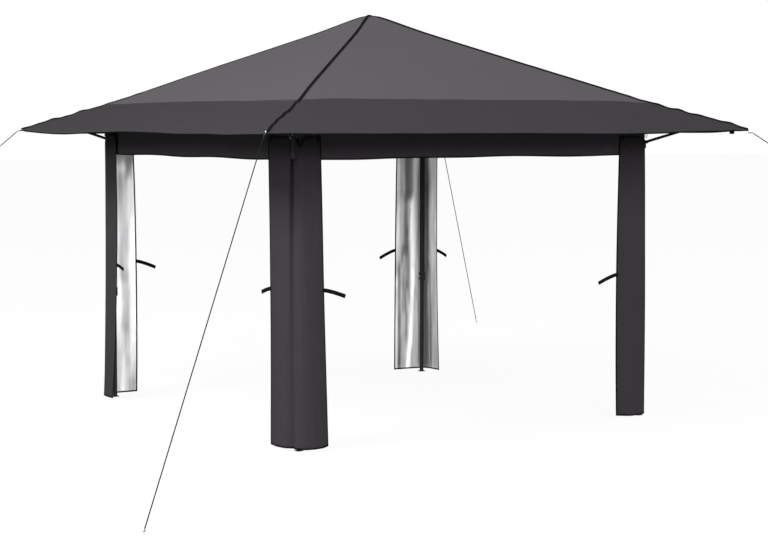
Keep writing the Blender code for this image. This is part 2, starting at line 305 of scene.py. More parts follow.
def add_bar(bm, start, end, profile, side, slot=0):
    """A straight bar. The profile's first axis points to the side."""
    start = Vector(start)
    end = Vector(end)
    along = (end - start).normalized()
    u = (Vector(side) - along * along.dot(Vector(side))).normalized()
    v = along.cross(u)
    add_sweep(bm, [(start, u, v), (end, u, v)], profile, slot)


def add_turned(bm, place, profile, count=16, slot=0, loop=False):
    """A profile of (radius, height) turned about the place's Z axis."""
    rings = []
    for r, z in profile:
        rings.append([place @ Vector((x, y, z)) for x, y in circle(max(r, 0.00001), count)])
    skin(bm, rings, closed_ends=not loop, loop=loop, slot=slot)


def add_stack(bm, place, sections, slot=0, loop=False, steps=3):
    """Rounded squares of (half width, height, corner radius) stacked about Z."""
    rings = []
    for half, z, radius in sections:
        ring = rounded_rect(2 * half, 2 * half, min(radius, half * 0.999), steps)
        rings.append([place @ Vector((x, y, z)) for x, y in ring])
    skin(bm, rings, closed_ends=not loop, loop=loop, slot=slot)


def add_block(bm, place, size, soft=0.0015, slot=0):
    """A box with softened edges, centred on the place."""
    grown = bmesh.ops.create_cube(bm, size=1.0, matrix=place @ Matrix.Diagonal((*size, 1.0)))
    edges = list({e for v in grown["verts"] for e in v.link_edges})
    bevelled = bmesh.ops.bevel(bm, geom=edges, offset=soft, segments=2, affect="EDGES",
                               profile=0.5)
    faces = {f for v in bevelled["verts"] for f in v.link_faces}
    for face in faces:
        face.material_index = slot


def add_ring(bm, place, outline, radius, slot=0):
    """A closed round wire along an outline in the place's own plane."""
    points = [place @ Vector((x, y, 0)) for x, y in outline]
    axis = place.to_3x3() @ UP
    rings = []
    for i, point in enumerate(points):
        out = (points[(i + 1) % len(points)] - points[i - 1]).normalized().cross(axis)
        rings.append([point + out * a + axis * b for a, b in circle(radius, 8)])
    skin(bm, rings, loop=True, slot=slot)


def frame_at(point, along, side):
    """A place whose Z runs along and whose X points to the side."""
    z = Vector(along).normalized()
    x = (Vector(side) - z * z.dot(Vector(side))).normalized()
    y = z.cross(x)
    return Matrix.Translation(point) @ Matrix((x, y, z)).transposed().to_4x4()


def new_piece(name, bm, materials, body="canopy", replaces=(), sharp=SHARP):
    """Turn a bmesh into a finished piece that rides on its body."""
    mesh = bpy.data.meshes.new(name)
    bm.to_mesh(mesh)
    bm.free()
    for mat in materials:
        mesh.materials.append(mat)
    mesh.shade_smooth()
    mesh.set_sharp_from_angle(angle=sharp)
    obj = bpy.data.objects.new(name, mesh)
    PIECES.objects.link(obj)
    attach(obj, body)
    if replaces:
        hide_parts(*replaces)
    return obj


print("helpers ready")

# %% [markdown]
# ## Shader groups
# Three effects turn up in more than one finish. A weave is two sets of fine ridges that
# cross. Creases are broad, soft swells, as where cloth lay folded for a long time.
# Wear lightens and dulls a coat of paint in small spots. Each is a group with named
# sockets that puts out only values, and each finish decides what to do with them.

# %% Build the shader groups
SOCKET_KINDS = {float: "NodeSocketFloat", int: "NodeSocketInt", type(None): "NodeSocketMaterial"}


def new_group(kind, name, settings, outputs):
    """A node group with named sockets. A shader one takes a vector and gives values."""
    carried, given = ("Vector", "Float") if kind == "Shader" else ("Geometry", "Geometry")
    tree = bpy.data.node_groups.new(name, kind + "NodeTree")
    add_socket = tree.interface.new_socket
    add_socket(name=carried, in_out="INPUT", socket_type="NodeSocket" + carried)
    for label, value in settings.items():
        socket = add_socket(name=label, in_out="INPUT", socket_type=SOCKET_KINDS[type(value)])
        if value is not None:
            socket.default_value = value
    for label in outputs:
        add_socket(name=label, in_out="OUTPUT", socket_type="NodeSocket" + given)
    return tree, tree.nodes.new("NodeGroupInput").outputs, tree.nodes.new("NodeGroupOutput")


def make_weave():
    tree, start, end = new_group("Shader", "Weave", {"Threads per metre": 900.0}, ("Height",))
    scaled = add_node(tree, "ShaderNodeVectorMath",
                      {0: start["Vector"], "Scale": start["Threads per metre"]}, operation="SCALE")
    apart = add_node(tree, "ShaderNodeSeparateXYZ", {0: scaled})
    warp, weft = (maths(tree, "SINE", maths(tree, "MULTIPLY", apart.outputs[axis], math.pi))
                  for axis in "XY")
    feed(tree, end, {"Height": maths(tree, "MULTIPLY", warp, weft)})
    return tree


def make_creases():
    tree, start, end = new_group("Shader", "Creases", {"Scale": 3.0, "Detail": 3.0}, ("Height",))
    feed(tree, end, {"Height": add_node(tree, "ShaderNodeTexNoise", {
        "Vector": start["Vector"], "Scale": start["Scale"], "Detail": start["Detail"],
        "Roughness": 0.45, "Distortion": 0.6})})
    return tree


def make_wear():
    tree, start, end = new_group("Shader", "Coat wear", {"Amount": 0.3}, ("Mask", "Grain"))
    spots, grain = (add_node(tree, "ShaderNodeTexNoise", {
        "Vector": start["Vector"], "Scale": scale, "Detail": detail})
        for scale, detail in ((38.0, 5.0), (900.0, 1.0)))
    raised = maths(tree, "SUBTRACT", spots, 0.56)
    spread = maths(tree, "MULTIPLY", raised, 7.0, clamp=True)
    feed(tree, end, {"Mask": maths(tree, "MULTIPLY", spread, start["Amount"]), "Grain": grain})
    return tree


WEAVE = make_weave()
CREASES = make_creases()
WEAR = make_wear()
print("shader groups:", WEAVE.name, CREASES.name, WEAR.name)

# %% [markdown]
# ## Finishes
# Coated polyester is matte with a faint weave, and its tone drifts a little where it was
# folded. The lining is the same cloth with a silver coat, part metal. The long vertical
# streaks of light that it throws back are painted into its colour, as painted reflections
# and painted shade. Steel tube has a black powder coat, the joints are moulded nylon, and
# hooks and pegs are zinc-plated.

# %% Make the finishes
THREADS = 900.0             # of the weave, in a metre
WEAVE_DEPTH = 0.0003
GRAIN_DEPTH = 0.0002


def use_group(tree, group, inputs):
    return add_node(tree, "ShaderNodeGroup", inputs, node_tree=group)


def blend_colours(tree, mask, low, high):
    mix = add_node(tree, "ShaderNodeMix", {"Factor": mask, 6: (*low, 1.0), 7: (*high, 1.0)},
                   data_type="RGBA")
    return mix.outputs[2]


def bump(tree, height, strength, distance, **under):
    return add_node(tree, "ShaderNodeBump", {
        "Height": height, "Strength": strength, "Distance": distance, **under})


def cloth_uv(tree, scale=(1.0, 1.0, 1.0)):
    """The cloth's own UV map, in metres, stretched for a pattern."""
    uv = add_node(tree, "ShaderNodeUVMap", {}, uv_map="cloth")
    return add_node(tree, "ShaderNodeMapping", {"Vector": uv, "Scale": scale})


def woven_bump(tree, swells, strength, distance, weave_strength):
    """Broad swells under the fine ridges of the weave."""
    weave = use_group(tree, WEAVE, {"Vector": cloth_uv(tree), "Threads per metre": THREADS})
    return bump(tree, weave, weave_strength, WEAVE_DEPTH,
                Normal=bump(tree, swells, strength, distance))


def coated_cloth(name, colour, drift):
    """Matte coated polyester, with its tone drifting by a share of its colour."""
    mat, tree, shader = plain_material(name, colour, 0.82)
    folds = use_group(tree, CREASES, {
        "Vector": cloth_uv(tree, (1.0, 2.2, 1.0)), "Scale": 2.2, "Detail": 4.0})
    darker, lighter = ([c * share for c in colour] for share in (1 - drift, 1 + drift))
    feed(tree, shader, {
        "Base Color": blend_colours(tree, folds, darker, lighter),
        "Normal": woven_bump(tree, folds, 0.5, 0.010, 0.12), "Specular IOR Level": 0.0})
    return mat


# How light the lining's painted reflections make it, from its darkest painted streaks to its
# brightest
LINING_REFLECTION_TONES = ((0.0, (0.035, 0.034, 0.036)),
                *((position, (grey, grey, grey * 1.01)) for position, grey in
                  ((0.25, 0.12), (0.5, 0.34), (0.66, 0.62), (0.82, 0.92))),
                (1.0, (0.98, 0.98, 0.98)))


def silver_lining_painted_reflections(name):
    """Silver-coated cloth with painted reflections: the "fold" attribute sets its painted dark and
    bright streaks.
    """
    mat, tree, shader = plain_material(name, (0.8, 0.8, 0.81), 0.45, 0.2)
    streaks = use_group(tree, CREASES, {
        "Vector": cloth_uv(tree, (14.0, 2.2, 1.0)), "Scale": 1.0, "Detail": 5.0})
    fold = add_node(tree, "ShaderNodeAttribute", {}, attribute_name="fold").outputs["Fac"]
    # painted reflections: the noise and the painted streaks lighten and darken the silver's base
    # colour
    drift = maths(tree, "MULTIPLY", maths(tree, "SUBTRACT", streaks, 0.5), 0.5)
    tone = maths(tree, "ADD", maths(tree, "MULTIPLY", fold, 0.42), 0.5)
    tone = maths(tree, "ADD", tone, drift, clamp=True)
    feed(tree, shader, {"Base Color": colour_ramp(tree, tone, LINING_REFLECTION_TONES),
                        "Normal": woven_bump(tree, streaks, 0.6, 0.012, 0.10)})
    return mat


def worn_finish(name, colour, worn, roughness, metallic=0.0, gloss=0.5, amount=0.5):
    """A painted, moulded or plated surface with small worn spots and a fine grain."""
    mat, tree, shader = plain_material(name, colour, roughness, metallic)
    place = tree.nodes.new("ShaderNodeTexCoord").outputs["Object"]
    wear = use_group(tree, WEAR, {"Vector": place, "Amount": amount})
    dulled = maths(tree, "MULTIPLY", wear.outputs["Mask"], 0.25)
    feed(tree, shader, {
        "Specular IOR Level": gloss,
        "Base Color": blend_colours(tree, wear.outputs["Mask"], colour, worn),
        "Roughness": maths(tree, "ADD", roughness, dulled, clamp=True),
        "Normal": bump(tree, wear.outputs["Grain"], 0.2, GRAIN_DEPTH)})
    return mat


ROOF_CLOTH = coated_cloth("roof_cloth_upper", (0.0203, 0.0190, 0.0203), 0.02)
EAVE_CLOTH = coated_cloth("roof_cloth_eave", (0.0104, 0.0096, 0.0104), 0.05)
# Painted light: the valance is the same cloth as the curtains and the eave, but with a lighter
# base colour that stands in for light reaching it under the eaves
VALANCE_CLOTH_PAINTED_LIGHT = coated_cloth("valance_cloth_painted_light", (0.0184, 0.0167, 0.0184), 0.10)
CURTAIN_CLOTH = coated_cloth("curtain_cloth_outside", (0.0117, 0.0106, 0.0117), 0.06)
EAVE_LINING = coated_cloth("eave_cloth_inside", (0.012, 0.0112, 0.012), 0.05)
LINING = silver_lining_painted_reflections("silver_lining_painted_reflections")
BINDING = worn_finish("black_binding", (0.0018, 0.0017, 0.0019), (0.004, 0.004, 0.004), 0.85,
                      gloss=0.0)
WEBBING = worn_finish("black_webbing", (0.0022, 0.0022, 0.0024), (0.005, 0.005, 0.005), 0.8,
                      gloss=0.0)
THREAD = worn_finish("dark_thread", (0.010, 0.0095, 0.010), (0.02, 0.02, 0.02), 0.7, gloss=0.1)
POWDER = worn_finish("black_powder_coat", (0.004, 0.004, 0.0042), (0.012, 0.012, 0.012), 0.5,
                     gloss=0.10)
NYLON = worn_finish("black_nylon", (0.004, 0.004, 0.004), (0.010, 0.010, 0.010), 0.55,
                    gloss=0.12)
ZINC = worn_finish("zinc_plate", (0.55, 0.55, 0.57), (0.38, 0.38, 0.39), 0.3, 0.95, amount=0.6)
ROPE_FIBRE = worn_finish("black_rope_fibre", (0.0035, 0.0035, 0.0037), (0.007, 0.007, 0.007), 0.85,
                         gloss=0.0)
print("finishes:", len(bpy.data.materials))

# %% [markdown]
# ## A sheet of cloth
# Every cloth here is a grid whose points come from a rule: s runs from left to right as
# seen from outside, and t runs upwards, so that the faces look outwards. The UV map holds
# metres of cloth, measured on the grid itself, and a Solidify modifier gives the real
# thickness, with the lining on its inner shell.

# %% Cloth helper
CLOTH_THICK = 0.0012
CLOTH_SHARP = math.radians(60)


def lengths(points):
    """How far along a line each of its points lies."""
    gone = [0.0]
    for a, b in zip(points, points[1:]):
        gone.append(gone[-1] + (b - a).length)
    return gone


def cloth_grid(bm, columns, rows, place, wrap=False, keep=None, slot_of=None, painted_streak_of=None):
    """Quads over place(s, t). keep(s, t) says which cells stay, slot_of(s, t) their slot."""
    uv_layer = bm.loops.layers.uv.new("cloth")
    # The "fold" attribute carries the linings' painted streaks of reflection and shade
    painted_streak_layer = bm.verts.layers.float.new("fold")
    spots = [[place(i / columns, j / rows) for i in range(columns + 1)] for j in range(rows + 1)]
    u = lengths(spots[0])
    v = lengths([row[columns // 8] for row in spots])
    across = columns if wrap else columns + 1
    points = [[bm.verts.new(spot) for spot in row[:across]] for row in spots]
    if painted_streak_of:
        for j, row in enumerate(points):
            for i, vert in enumerate(row):
                vert[painted_streak_layer] = painted_streak_of(i / columns, j / rows)
    for j in range(rows):
        for i in range(columns):
            middle = ((i + 0.5) / columns, (j + 0.5) / rows)
            if keep and not keep(*middle):
                continue
            k = (i + 1) % across
            face = bm.faces.new((points[j][i], points[j][k], points[j + 1][k], points[j + 1][i]))
            face.material_index = slot_of(*middle) if slot_of else 0
            for loop, (a, b) in zip(face.loops, ((i, j), (i + 1, j), (i + 1, j + 1), (i, j + 1))):
                loop[uv_layer].uv = (u[a], v[b])
    loose = [v for v in bm.verts if not v.link_faces]
    bmesh.ops.delete(bm, geom=loose, context="VERTS")
    return points


def new_cloth(name, bm, materials, thickness=CLOTH_THICK, lining=0, sharp=CLOTH_SHARP,
              replaces=()):
    """A finished sheet, thickened inwards, with the lining so many slots further on."""
    obj = new_piece(name, bm, materials, replaces=replaces, sharp=sharp)
    solid = obj.modifiers.new("thickness", "SOLIDIFY")
    solid.thickness = thickness
    solid.offset = -1.0
    solid.material_offset = lining
    return obj


def flat_area(bm):
    return sum(f.calc_area() for f in bm.faces)


def ease(value):
    """0 below 0, 1 above 1, and a smooth rise between."""
    value = min(1.0, max(0.0, value))
    return value * value * (3 - 2 * value)


def hill(distance, reach):
    """A smooth bump: 1 in the middle, nearly 0 at twice its reach."""
    return math.exp(-(distance / reach) ** 2)


print("cloth helper ready")

# %% [markdown]
# ## The roof cloth
# The roof is one sewn cover: four triangles from the hub to the bend above the valance,
# and four wider strips from there to the eave. Flat panels would look like sheet metal.
# So one continuous sheet follows the real thing: it is rounded where the hub pushes it
# up, sags a little between the rafters, droops between the eave arms, and puckers beside
# the hips, where the binding is sewn on tighter than the cloth. No two corners of the
# real one stand alike, so the puckers and the small lifts are listed corner by corner.

# %% Shape of the roof
PEAK_ROUND = 0.045          # radius of the rounding over the hub
PEAK_REACH = 0.20           # how far from the peak the hub lifts the cloth
BEND_ROUND = 0.004          # how softly the cloth turns at the bend
ROOF_SAG = 0.010
RAISED = {"front_right": 0.003, "back_left": -0.010}                            # near a hip
TIP_DROP = {"front_left": 0.006, "front_right": -0.012, "back_left": -0.009}
TIP_REACH = 0.3
EDGE_DROP = 0.010           # the eave bends down a little towards its edge

# Lifts of an eave's edge: middle and reach along the side, and height
EDGE_WAVES = {
    "front": ((1.50, 0.34, 0.010), (0.50, 0.40, -0.003), (-1.80, 0.20, 0.004)),
    "left": ((1.15, 0.35, -0.008), (0.05, 0.50, 0.008), (-1.42, 0.12, -0.005)),
}

# Droop of the eave between its arms
DROOP = {"front": 0.007, "right": 0.004, "back": 0.021, "left": 0.013}

PUCKER = 0.0060             # height of a full pucker beside a hip
PUCKER_HALF = 0.052         # half its length along the hip
PUCKER_REACH = 0.11         # how far it runs into the panel
PUCKER_START = 1.15         # the puckers begin this far out
DRAWN_LINE = 0.0022         # height of the fine lines between the puckers
DRAWN_PITCH = 0.105
WRINKLE = 0.0035
HIP_SHIFT = {"front_left": (0.009, 0.013)}  # runs aside by this, and more at the bend

# Each pucker's distance from the roof's middle along the hip, and its share of full height
PUCKERS = {
    "front_left": ((1.86, 0.4), (2.20, 0.9), (2.42, 1.0), (2.55, 0.8), (2.66, 0.8)),
    "front_right": ((1.93, 0.4), (2.153, 1.0), (2.31, 1.0), (2.47, 1.1), (2.675, 1.0)),
    "back_right": ((1.90, 0.4), (2.18, 0.9), (2.37, 1.0), (2.53, 0.8), (2.69, 0.8)),
    "back_left": ((2.02, 0.5), (2.295, 1.0), (2.525, 1.1), (2.63, 0.7), (2.77, 0.5)),
}


def soft_max(a, b, width):
    """The larger of two heights, rounded where they meet."""
    return (a + b + math.sqrt((a - b) ** 2 + width ** 2)) / 2


def corner_of(x, y):
    return next(c for c, (sx, sy) in CORNERS.items() if sx * x >= 0 and sy * y >= 0)


def hip_puckers(corner, diagonal):
    """Height of the puckers right beside a hip, as a share of a full one."""
    ripple = 0.2 * math.sin(2 * math.pi * diagonal / 0.12) - 0.3
    for centre, share in PUCKERS[corner]:
        ripple += 1.3 * share * hill(diagonal - centre, PUCKER_HALF)
    return ripple


def roof_z(x, y):
    """Height of the roof's outer face over a place on the plan."""
    half = max(abs(x), abs(y))
    away = half - min(abs(x), abs(y))
    share = 1 - away / max(half, 0.001)
    side = SIDES[(0 if y < 0 else 2) if abs(y) >= abs(x) else (1 if x > 0 else 3)]
    corner = corner_of(x, y)
    outward = max(0.0, (half - BEND) / (ROOF_HALF - BEND))
    upper = PEAK_Z - SLOPE_ROOF * math.hypot(half, PEAK_ROUND)
    upper += SLOPE_ROOF * PEAK_ROUND * hill(half, PEAK_REACH)
    lower = FOLD_Z - SLOPE_EAVE * (half - BEND)
    z = soft_max(upper, lower, BEND_ROUND) - BEND_ROUND / 4
    if half < BEND:
        z -= ROOF_SAG * (1 - share ** 2) * math.sin(math.pi * (half / BEND) ** 1.3)
    z -= DROOP[side] * outward ** 1.4 * (1 - share ** 8)
    signed = x if side in ("front", "back") else y
    lift = sum(height * hill(signed - middle, reach)
               for middle, reach, height in EDGE_WAVES.get(side, ()))
    z += (lift - EDGE_DROP) * outward ** 2
    z += RAISED.get(corner, 0.0) * ease((half - 0.8) / 0.7) * hill(away, 0.75)
    from_tip = math.hypot(abs(x) - ROOF_HALF, abs(y) - ROOF_HALF)
    z -= TIP_DROP.get(corner, 0.0) * hill(from_tip, TIP_REACH)
    start = ease((half - PUCKER_START) / 0.35)
    diagonal = (abs(x) + abs(y)) / ROOT2
    z += PUCKER * hip_puckers(corner, diagonal) * hill(away, PUCKER_REACH) * start
    drawn = ease(outward / 0.15) * ease((1 - outward) / 0.15) * hill(away - 0.16, 0.14)
    z += DRAWN_LINE * math.sin(2 * math.pi * half / DRAWN_PITCH + 2.0 * away) * drawn
    index = SIDES.index(side)
    wave = noise.noise(Vector((signed * 1.6, half * 8.0, index * 11.0)))
    fine = noise.noise(Vector((signed * 5.0, half * 17.0, index * 7.0 + 3.0)))
    z += WRINKLE * (wave + 0.4 * fine) * (0.25 + 0.75 * start) * min(1.0, half / 0.3)
    return z


def roof_point(x, y, lift=0.0):
    """A place on the roof's outer face, or so far above it, where the hip really runs."""
    half = max(abs(x), abs(y))
    away = half - min(abs(x), abs(y))
    corner = corner_of(x, y)
    sx, sy = CORNERS[corner]
    long_shift, bend_shift = HIP_SHIFT.get(corner, (0.0, 0.0))
    shift = long_shift * ease(half / 0.4) * ease((ROOF_HALF - half) / 0.35)
    shift += bend_shift * hill(half - BEND - 0.06, 0.20)
    shift *= hill(away, 0.25) / ROOT2
    return Vector((x - sy * shift, y + sx * shift, roof_z(x, y) + lift))


def ring_place(turn, half, crowd=0.65):
    """A place on the square ring `half` out, turn running 0 to 1 from the front left.

    Equal steps crowd together towards the corners, where the cloth has most shape.
    """
    side = int(turn * 4) % 4
    share = (turn * 4 - int(turn * 4)) * 2 - 1
    share += crowd * (math.sin(math.pi / 2 * share) - share)
    x, y = share * half, -half
    for _ in range(side):
        x, y = -y, x
    return x, y


# %% Build the roof cloth
ROOF_AROUND = 4 * 72
SKIRT = 0.0040              # the hem hangs this far below the edge
SEAM_BACK = 0.010           # the dark cloth reaches this far above the bend
SEAM_RISE = 0.026           # and this much further in the middle of the front
SEAM_WAVE = 0.012
EAVE_RINGS = 18
UPPER_RINGS = 46
EDGE = ROOF_HALF - 0.0022   # where the hem starts to turn down
UPPER = BEND - 0.056        # the first ring that the seam's waves can't reach
PEAK_HOLE = 0.004           # half width of the last ring, closed by one face

# Half width of each ring of points, and how far it hangs below the roof's surface
RINGS = [(ROOF_HALF, SKIRT), (ROOF_HALF + 0.0004, 0.0018), (EDGE, 0.0)]
RINGS += [(EDGE + (BEND - EDGE) * i / EAVE_RINGS, 0.0) for i in range(1, EAVE_RINGS + 1)]
SEAM_RING = len(RINGS)
RINGS += [(BEND - SEAM_BACK, 0.0)]
RINGS += [(UPPER * (1 - i / UPPER_RINGS) + PEAK_HOLE, 0.0) for i in range(UPPER_RINGS + 1)]
ROOF_RINGS = len(RINGS) - 1


def roof_place(s, t):
    ring = round(t * ROOF_RINGS)
    half, hang = RINGS[ring]
    if ring == SEAM_RING:
        x, y = ring_place(s, half)
        half += SEAM_WAVE * noise.noise(Vector((x * 2.6, y * 2.6, 4.0)))
        if y == -BEND + SEAM_BACK:
            half -= SEAM_RISE * ease((BEND - abs(x)) / 0.3)
    x, y = ring_place(s, half)
    return roof_point(x, y, -hang)


roof_bm = bmesh.new()
roof_rings = cloth_grid(
    roof_bm, ROOF_AROUND, ROOF_RINGS, roof_place, wrap=True,
    slot_of=lambda s, t: 1 if t * ROOF_RINGS < SEAM_RING else 0,
)
roof_bm.faces.new(roof_rings[-1])
roof_area = flat_area(roof_bm)
roof = new_cloth(
    "roof_cover", roof_bm, (ROOF_CLOTH, EAVE_CLOTH, LINING, EAVE_LINING), lining=2,
    replaces=[f"roof_panel_{side}" for side in SIDES] + ["peak_cap"],
)
print(f"roof cover: {roof_area:.2f} m2 of cloth, {len(roof.data.polygons)} faces")

# %% [markdown]
# ## Bindings and hems
# A black tape binds each hip, where two panels meet, and stands up as a rib because the
# seam allowance lies under it. Its end is folded down over the hem at the tip, and a
# round patch covers the four ends at the peak. The tape is laid on the roof by the same
# rule as the cloth, so that it follows every pucker. A narrow binding closes the hem.

# %% Hip bindings, peak patch and eave hem
TAPE_HALF = 0.013
TAPE_THICK = 0.0022
TAPE_CROWN = {"front_left": 0.0065, "front_right": 0.0075, "back_right": 0.0065,
              "back_left": 0.0025}
TAPE_SWELL = {"back_left": 0.0035}          # the crown rises by this near the tip
TAPE_FOLD = (0.014, 0.003, 0.0)             # how far its first rows hang below the tip
TAPE_LIFT = 0.0012          # bindings start this far above the roof
HIP_STEPS = 150
PATCH = 0.030
PATCH_RISE = 0.0085


def hip_rule(corner):
    """place(s, t) of one hip binding, from its end below the tip to the peak."""
    sx, sy = CORNERS[corner]
    limit = ROOF_HALF + 0.0016

    def place(s, t):
        step = round(t * HIP_STEPS)
        reach = ROOF_HALF + (0.006 - ROOF_HALF) * max(0, step - 2) / (HIP_STEPS - 2)
        aside = (s - 0.5) * 2 * TAPE_HALF / ROOT2
        x = max(-limit, min(limit, sx * reach - sy * aside))
        y = max(-limit, min(limit, sy * reach + sx * aside))
        crown = TAPE_CROWN[corner] + TAPE_SWELL.get(corner, 0.0) * ease((reach - 1.2) / 0.35)
        crown *= (1 - (2 * s - 1) ** 2) * min(1.0, reach / 0.06)
        fold = TAPE_FOLD[min(step, 2)]
        return roof_point(x, y, TAPE_LIFT + crown - fold)

    return place


def peak_patch():
    def place(s, t):
        reach = PATCH * (1 - t) + 0.0005
        x, y = (reach * f(2 * math.pi * s) for f in (math.cos, math.sin))
        rise = PATCH_RISE * (1 - (reach / (PATCH + 0.0005)) ** 2)
        return Vector((x, y, roof_z(x, y) + TAPE_LIFT + rise))

    bm = bmesh.new()
    rings = cloth_grid(bm, 32, 6, place, wrap=True)
    bm.faces.new(rings[-1])
    new_cloth("peak_patch", bm, (BINDING,), TAPE_THICK, sharp=SHARP)


def mitred(points):
    """Outward normals of a closed line on the plan, lengthened at its corners."""
    normals = []
    for before, here, after in zip(points[-1:] + points[:-1], points, points[1:] + points[:1]):
        first, second = (Vector((d.y, -d.x, 0)).normalized()
                         for d in (here - before, after - here))
        normals.append((first + second) / (1 + first.dot(second)))
    return normals


def bound_ring(name, points, width, height):
    """A bound edge all round: a flattened tube swept along a closed line."""
    profile = rounded_rect(width, height, 0.45 * width, 2)
    bm = bmesh.new()
    skin(bm, [[p + out * a + UP * b for a, b in profile]
              for p, out in zip(points, mitred(points))], loop=True)
    return new_piece(name, bm, (BINDING,))


hips = {corner: hip_rule(corner) for corner in CORNERS}
for corner, place in hips.items():
    hip_bm = bmesh.new()
    cloth_grid(hip_bm, 8, HIP_STEPS, place)
    new_cloth(f"hip_binding_{corner}", hip_bm, (BINDING,), TAPE_THICK)
peak_patch()
eave_edge = [roof_place(i / ROOF_AROUND, 0.0) - UP * 0.0035 for i in range(ROOF_AROUND)]
bound_ring("eave_hem", eave_edge, 0.0035, 0.0080)
print(f"{len(hips)} hip bindings and a hem of {lengths(eave_edge)[-1]:.1f} m")

# %% [markdown]
# ## Valance
# The valance is a band of the same cloth that hangs from the bend. The four sides are
# sewn to each other, with a small slit at each corner for the eave arm and one for its
# brace, so it is built as one ring. It hangs nearly flat: a few long waves that grow
# towards the hem are enough to show that it is cloth. At the corners it is drawn in
# against the brackets, and towards the left its hem hangs a little lower.

# %% Build the valance
VALANCE_LOW = band_low.z + 0.007            # its binding hangs below this
VALANCE_DROP = 0.012
HEM_LIFT = (-1.27, 0.22, 0.006)             # middle, reach and height, along the front
VALANCE_WAVE = 0.006
HEM_WAVE = 0.0035
CORNER_GAP = 0.006                          # the top hangs this far under the roof there
DRAWN_IN = {"front_left": 0.012, "front_right": 0.030, "back_right": 0.004, "back_left": 0.004}
DRAWN_REACH = 0.075
PUSHED_OUT = {"back_left": 0.015}           # where the brace pushes the cloth out
BRACE_Z = 2.020
VALANCE_AROUND = 4 * 120
VALANCE_ROWS = 30

# The slits at the corners, for the brace and for the arm: half width, lowest, highest
SLITS = ((0.014, 1.992, 2.045), (0.012, 2.225, 2.300))


def valance_place(s, t):
    """s runs around the ring from the front left corner, t from the hem upwards."""
    x, y = ring_place(s, BEND - 0.0006)
    side = int(s * 4) % 4
    along = x if side in (0, 2) else y
    gap = BEND - abs(along)
    low = VALANCE_LOW - VALANCE_DROP * ease((-x - 0.25) / 0.8)
    z = low + (roof_z(x, y) - 0.0016 - CORNER_GAP * hill(gap, 0.05) - low) * t
    loose = min(1.0, gap / 0.22) * (1 - t)
    wave = math.sin(along * 5.1 + side * 2.0) + 0.6 * math.sin(along * 11.3 + side)
    scale = 1 - (0.5 * VALANCE_WAVE * wave - 0.004) * loose / BEND
    if side in (0, 2):
        y *= scale
    else:
        x *= scale
    corner = corner_of(x, y)
    sx, sy = CORNERS[corner]
    drawn = DRAWN_IN[corner] - PUSHED_OUT.get(corner, 0.0) * hill(z - BRACE_Z, 0.04)
    drawn *= hill(gap, DRAWN_REACH) * min(1.0, 8 * (1 - t))
    z += HEM_WAVE * math.sin(along * 6.3 + side * 1.3) * loose
    if side == 0:
        z += HEM_LIFT[2] * hill(along - HEM_LIFT[0], HEM_LIFT[1]) * (1 - t)
    return Vector((x - sx * drawn, y - sy * drawn, z))


def valance_kept(s, t):
    x, y = ring_place(s, BEND)
    gap = 2 * BEND - abs(x) - abs(y)
    z = valance_place(s, t).z
    return not any(gap < half and low < z < high for half, low, high in SLITS)


def valance():
    bm = bmesh.new()
    cloth_grid(bm, VALANCE_AROUND, VALANCE_ROWS, valance_place, wrap=True, keep=valance_kept)
    area = flat_area(bm)
    # The valance's outer cloth carries painted light: a lighter copy of the same cloth
    band = new_cloth("valance_cloth", bm, (VALANCE_CLOTH_PAINTED_LIGHT, LINING), lining=1,
                     replaces=[f"valance_{side}" for side in SIDES])
    edge = [valance_place(i / VALANCE_AROUND, 0.0) - UP * 0.0025 for i in range(VALANCE_AROUND)]
    hem = bound_ring("valance_hem", edge, 0.0032, 0.009)
    print(f"valance: {area:.2f} m2 of cloth, {len(band.data.polygons)} faces")
    return band


band = valance()

# %% [markdown]
# ## Corner curtains
# Each leg has a curtain: one cloth, a little over half a metre wide, that goes round the
# outside of the leg in an L. It is held at the top and hangs free, so that its wings bow
# out, curl in at their free edges, and turn about the leg in a soft corner. No two hang
# alike, so each is given as three lines on the plan, at the top, at half height and at
# the hem, and the cloth is drawn smoothly through them. It reaches up behind the eave,
# with a notch at the corner for the brace.

# %% Plans of the curtains
CURTAIN_TOP = curtain_high.z
CURTAIN_LOW = curtain_low.z
CURTAIN_HEAD = CURTAIN_TOP + 0.065
NOTCH = 0.065
CURTAIN_WIDTH = 0.540

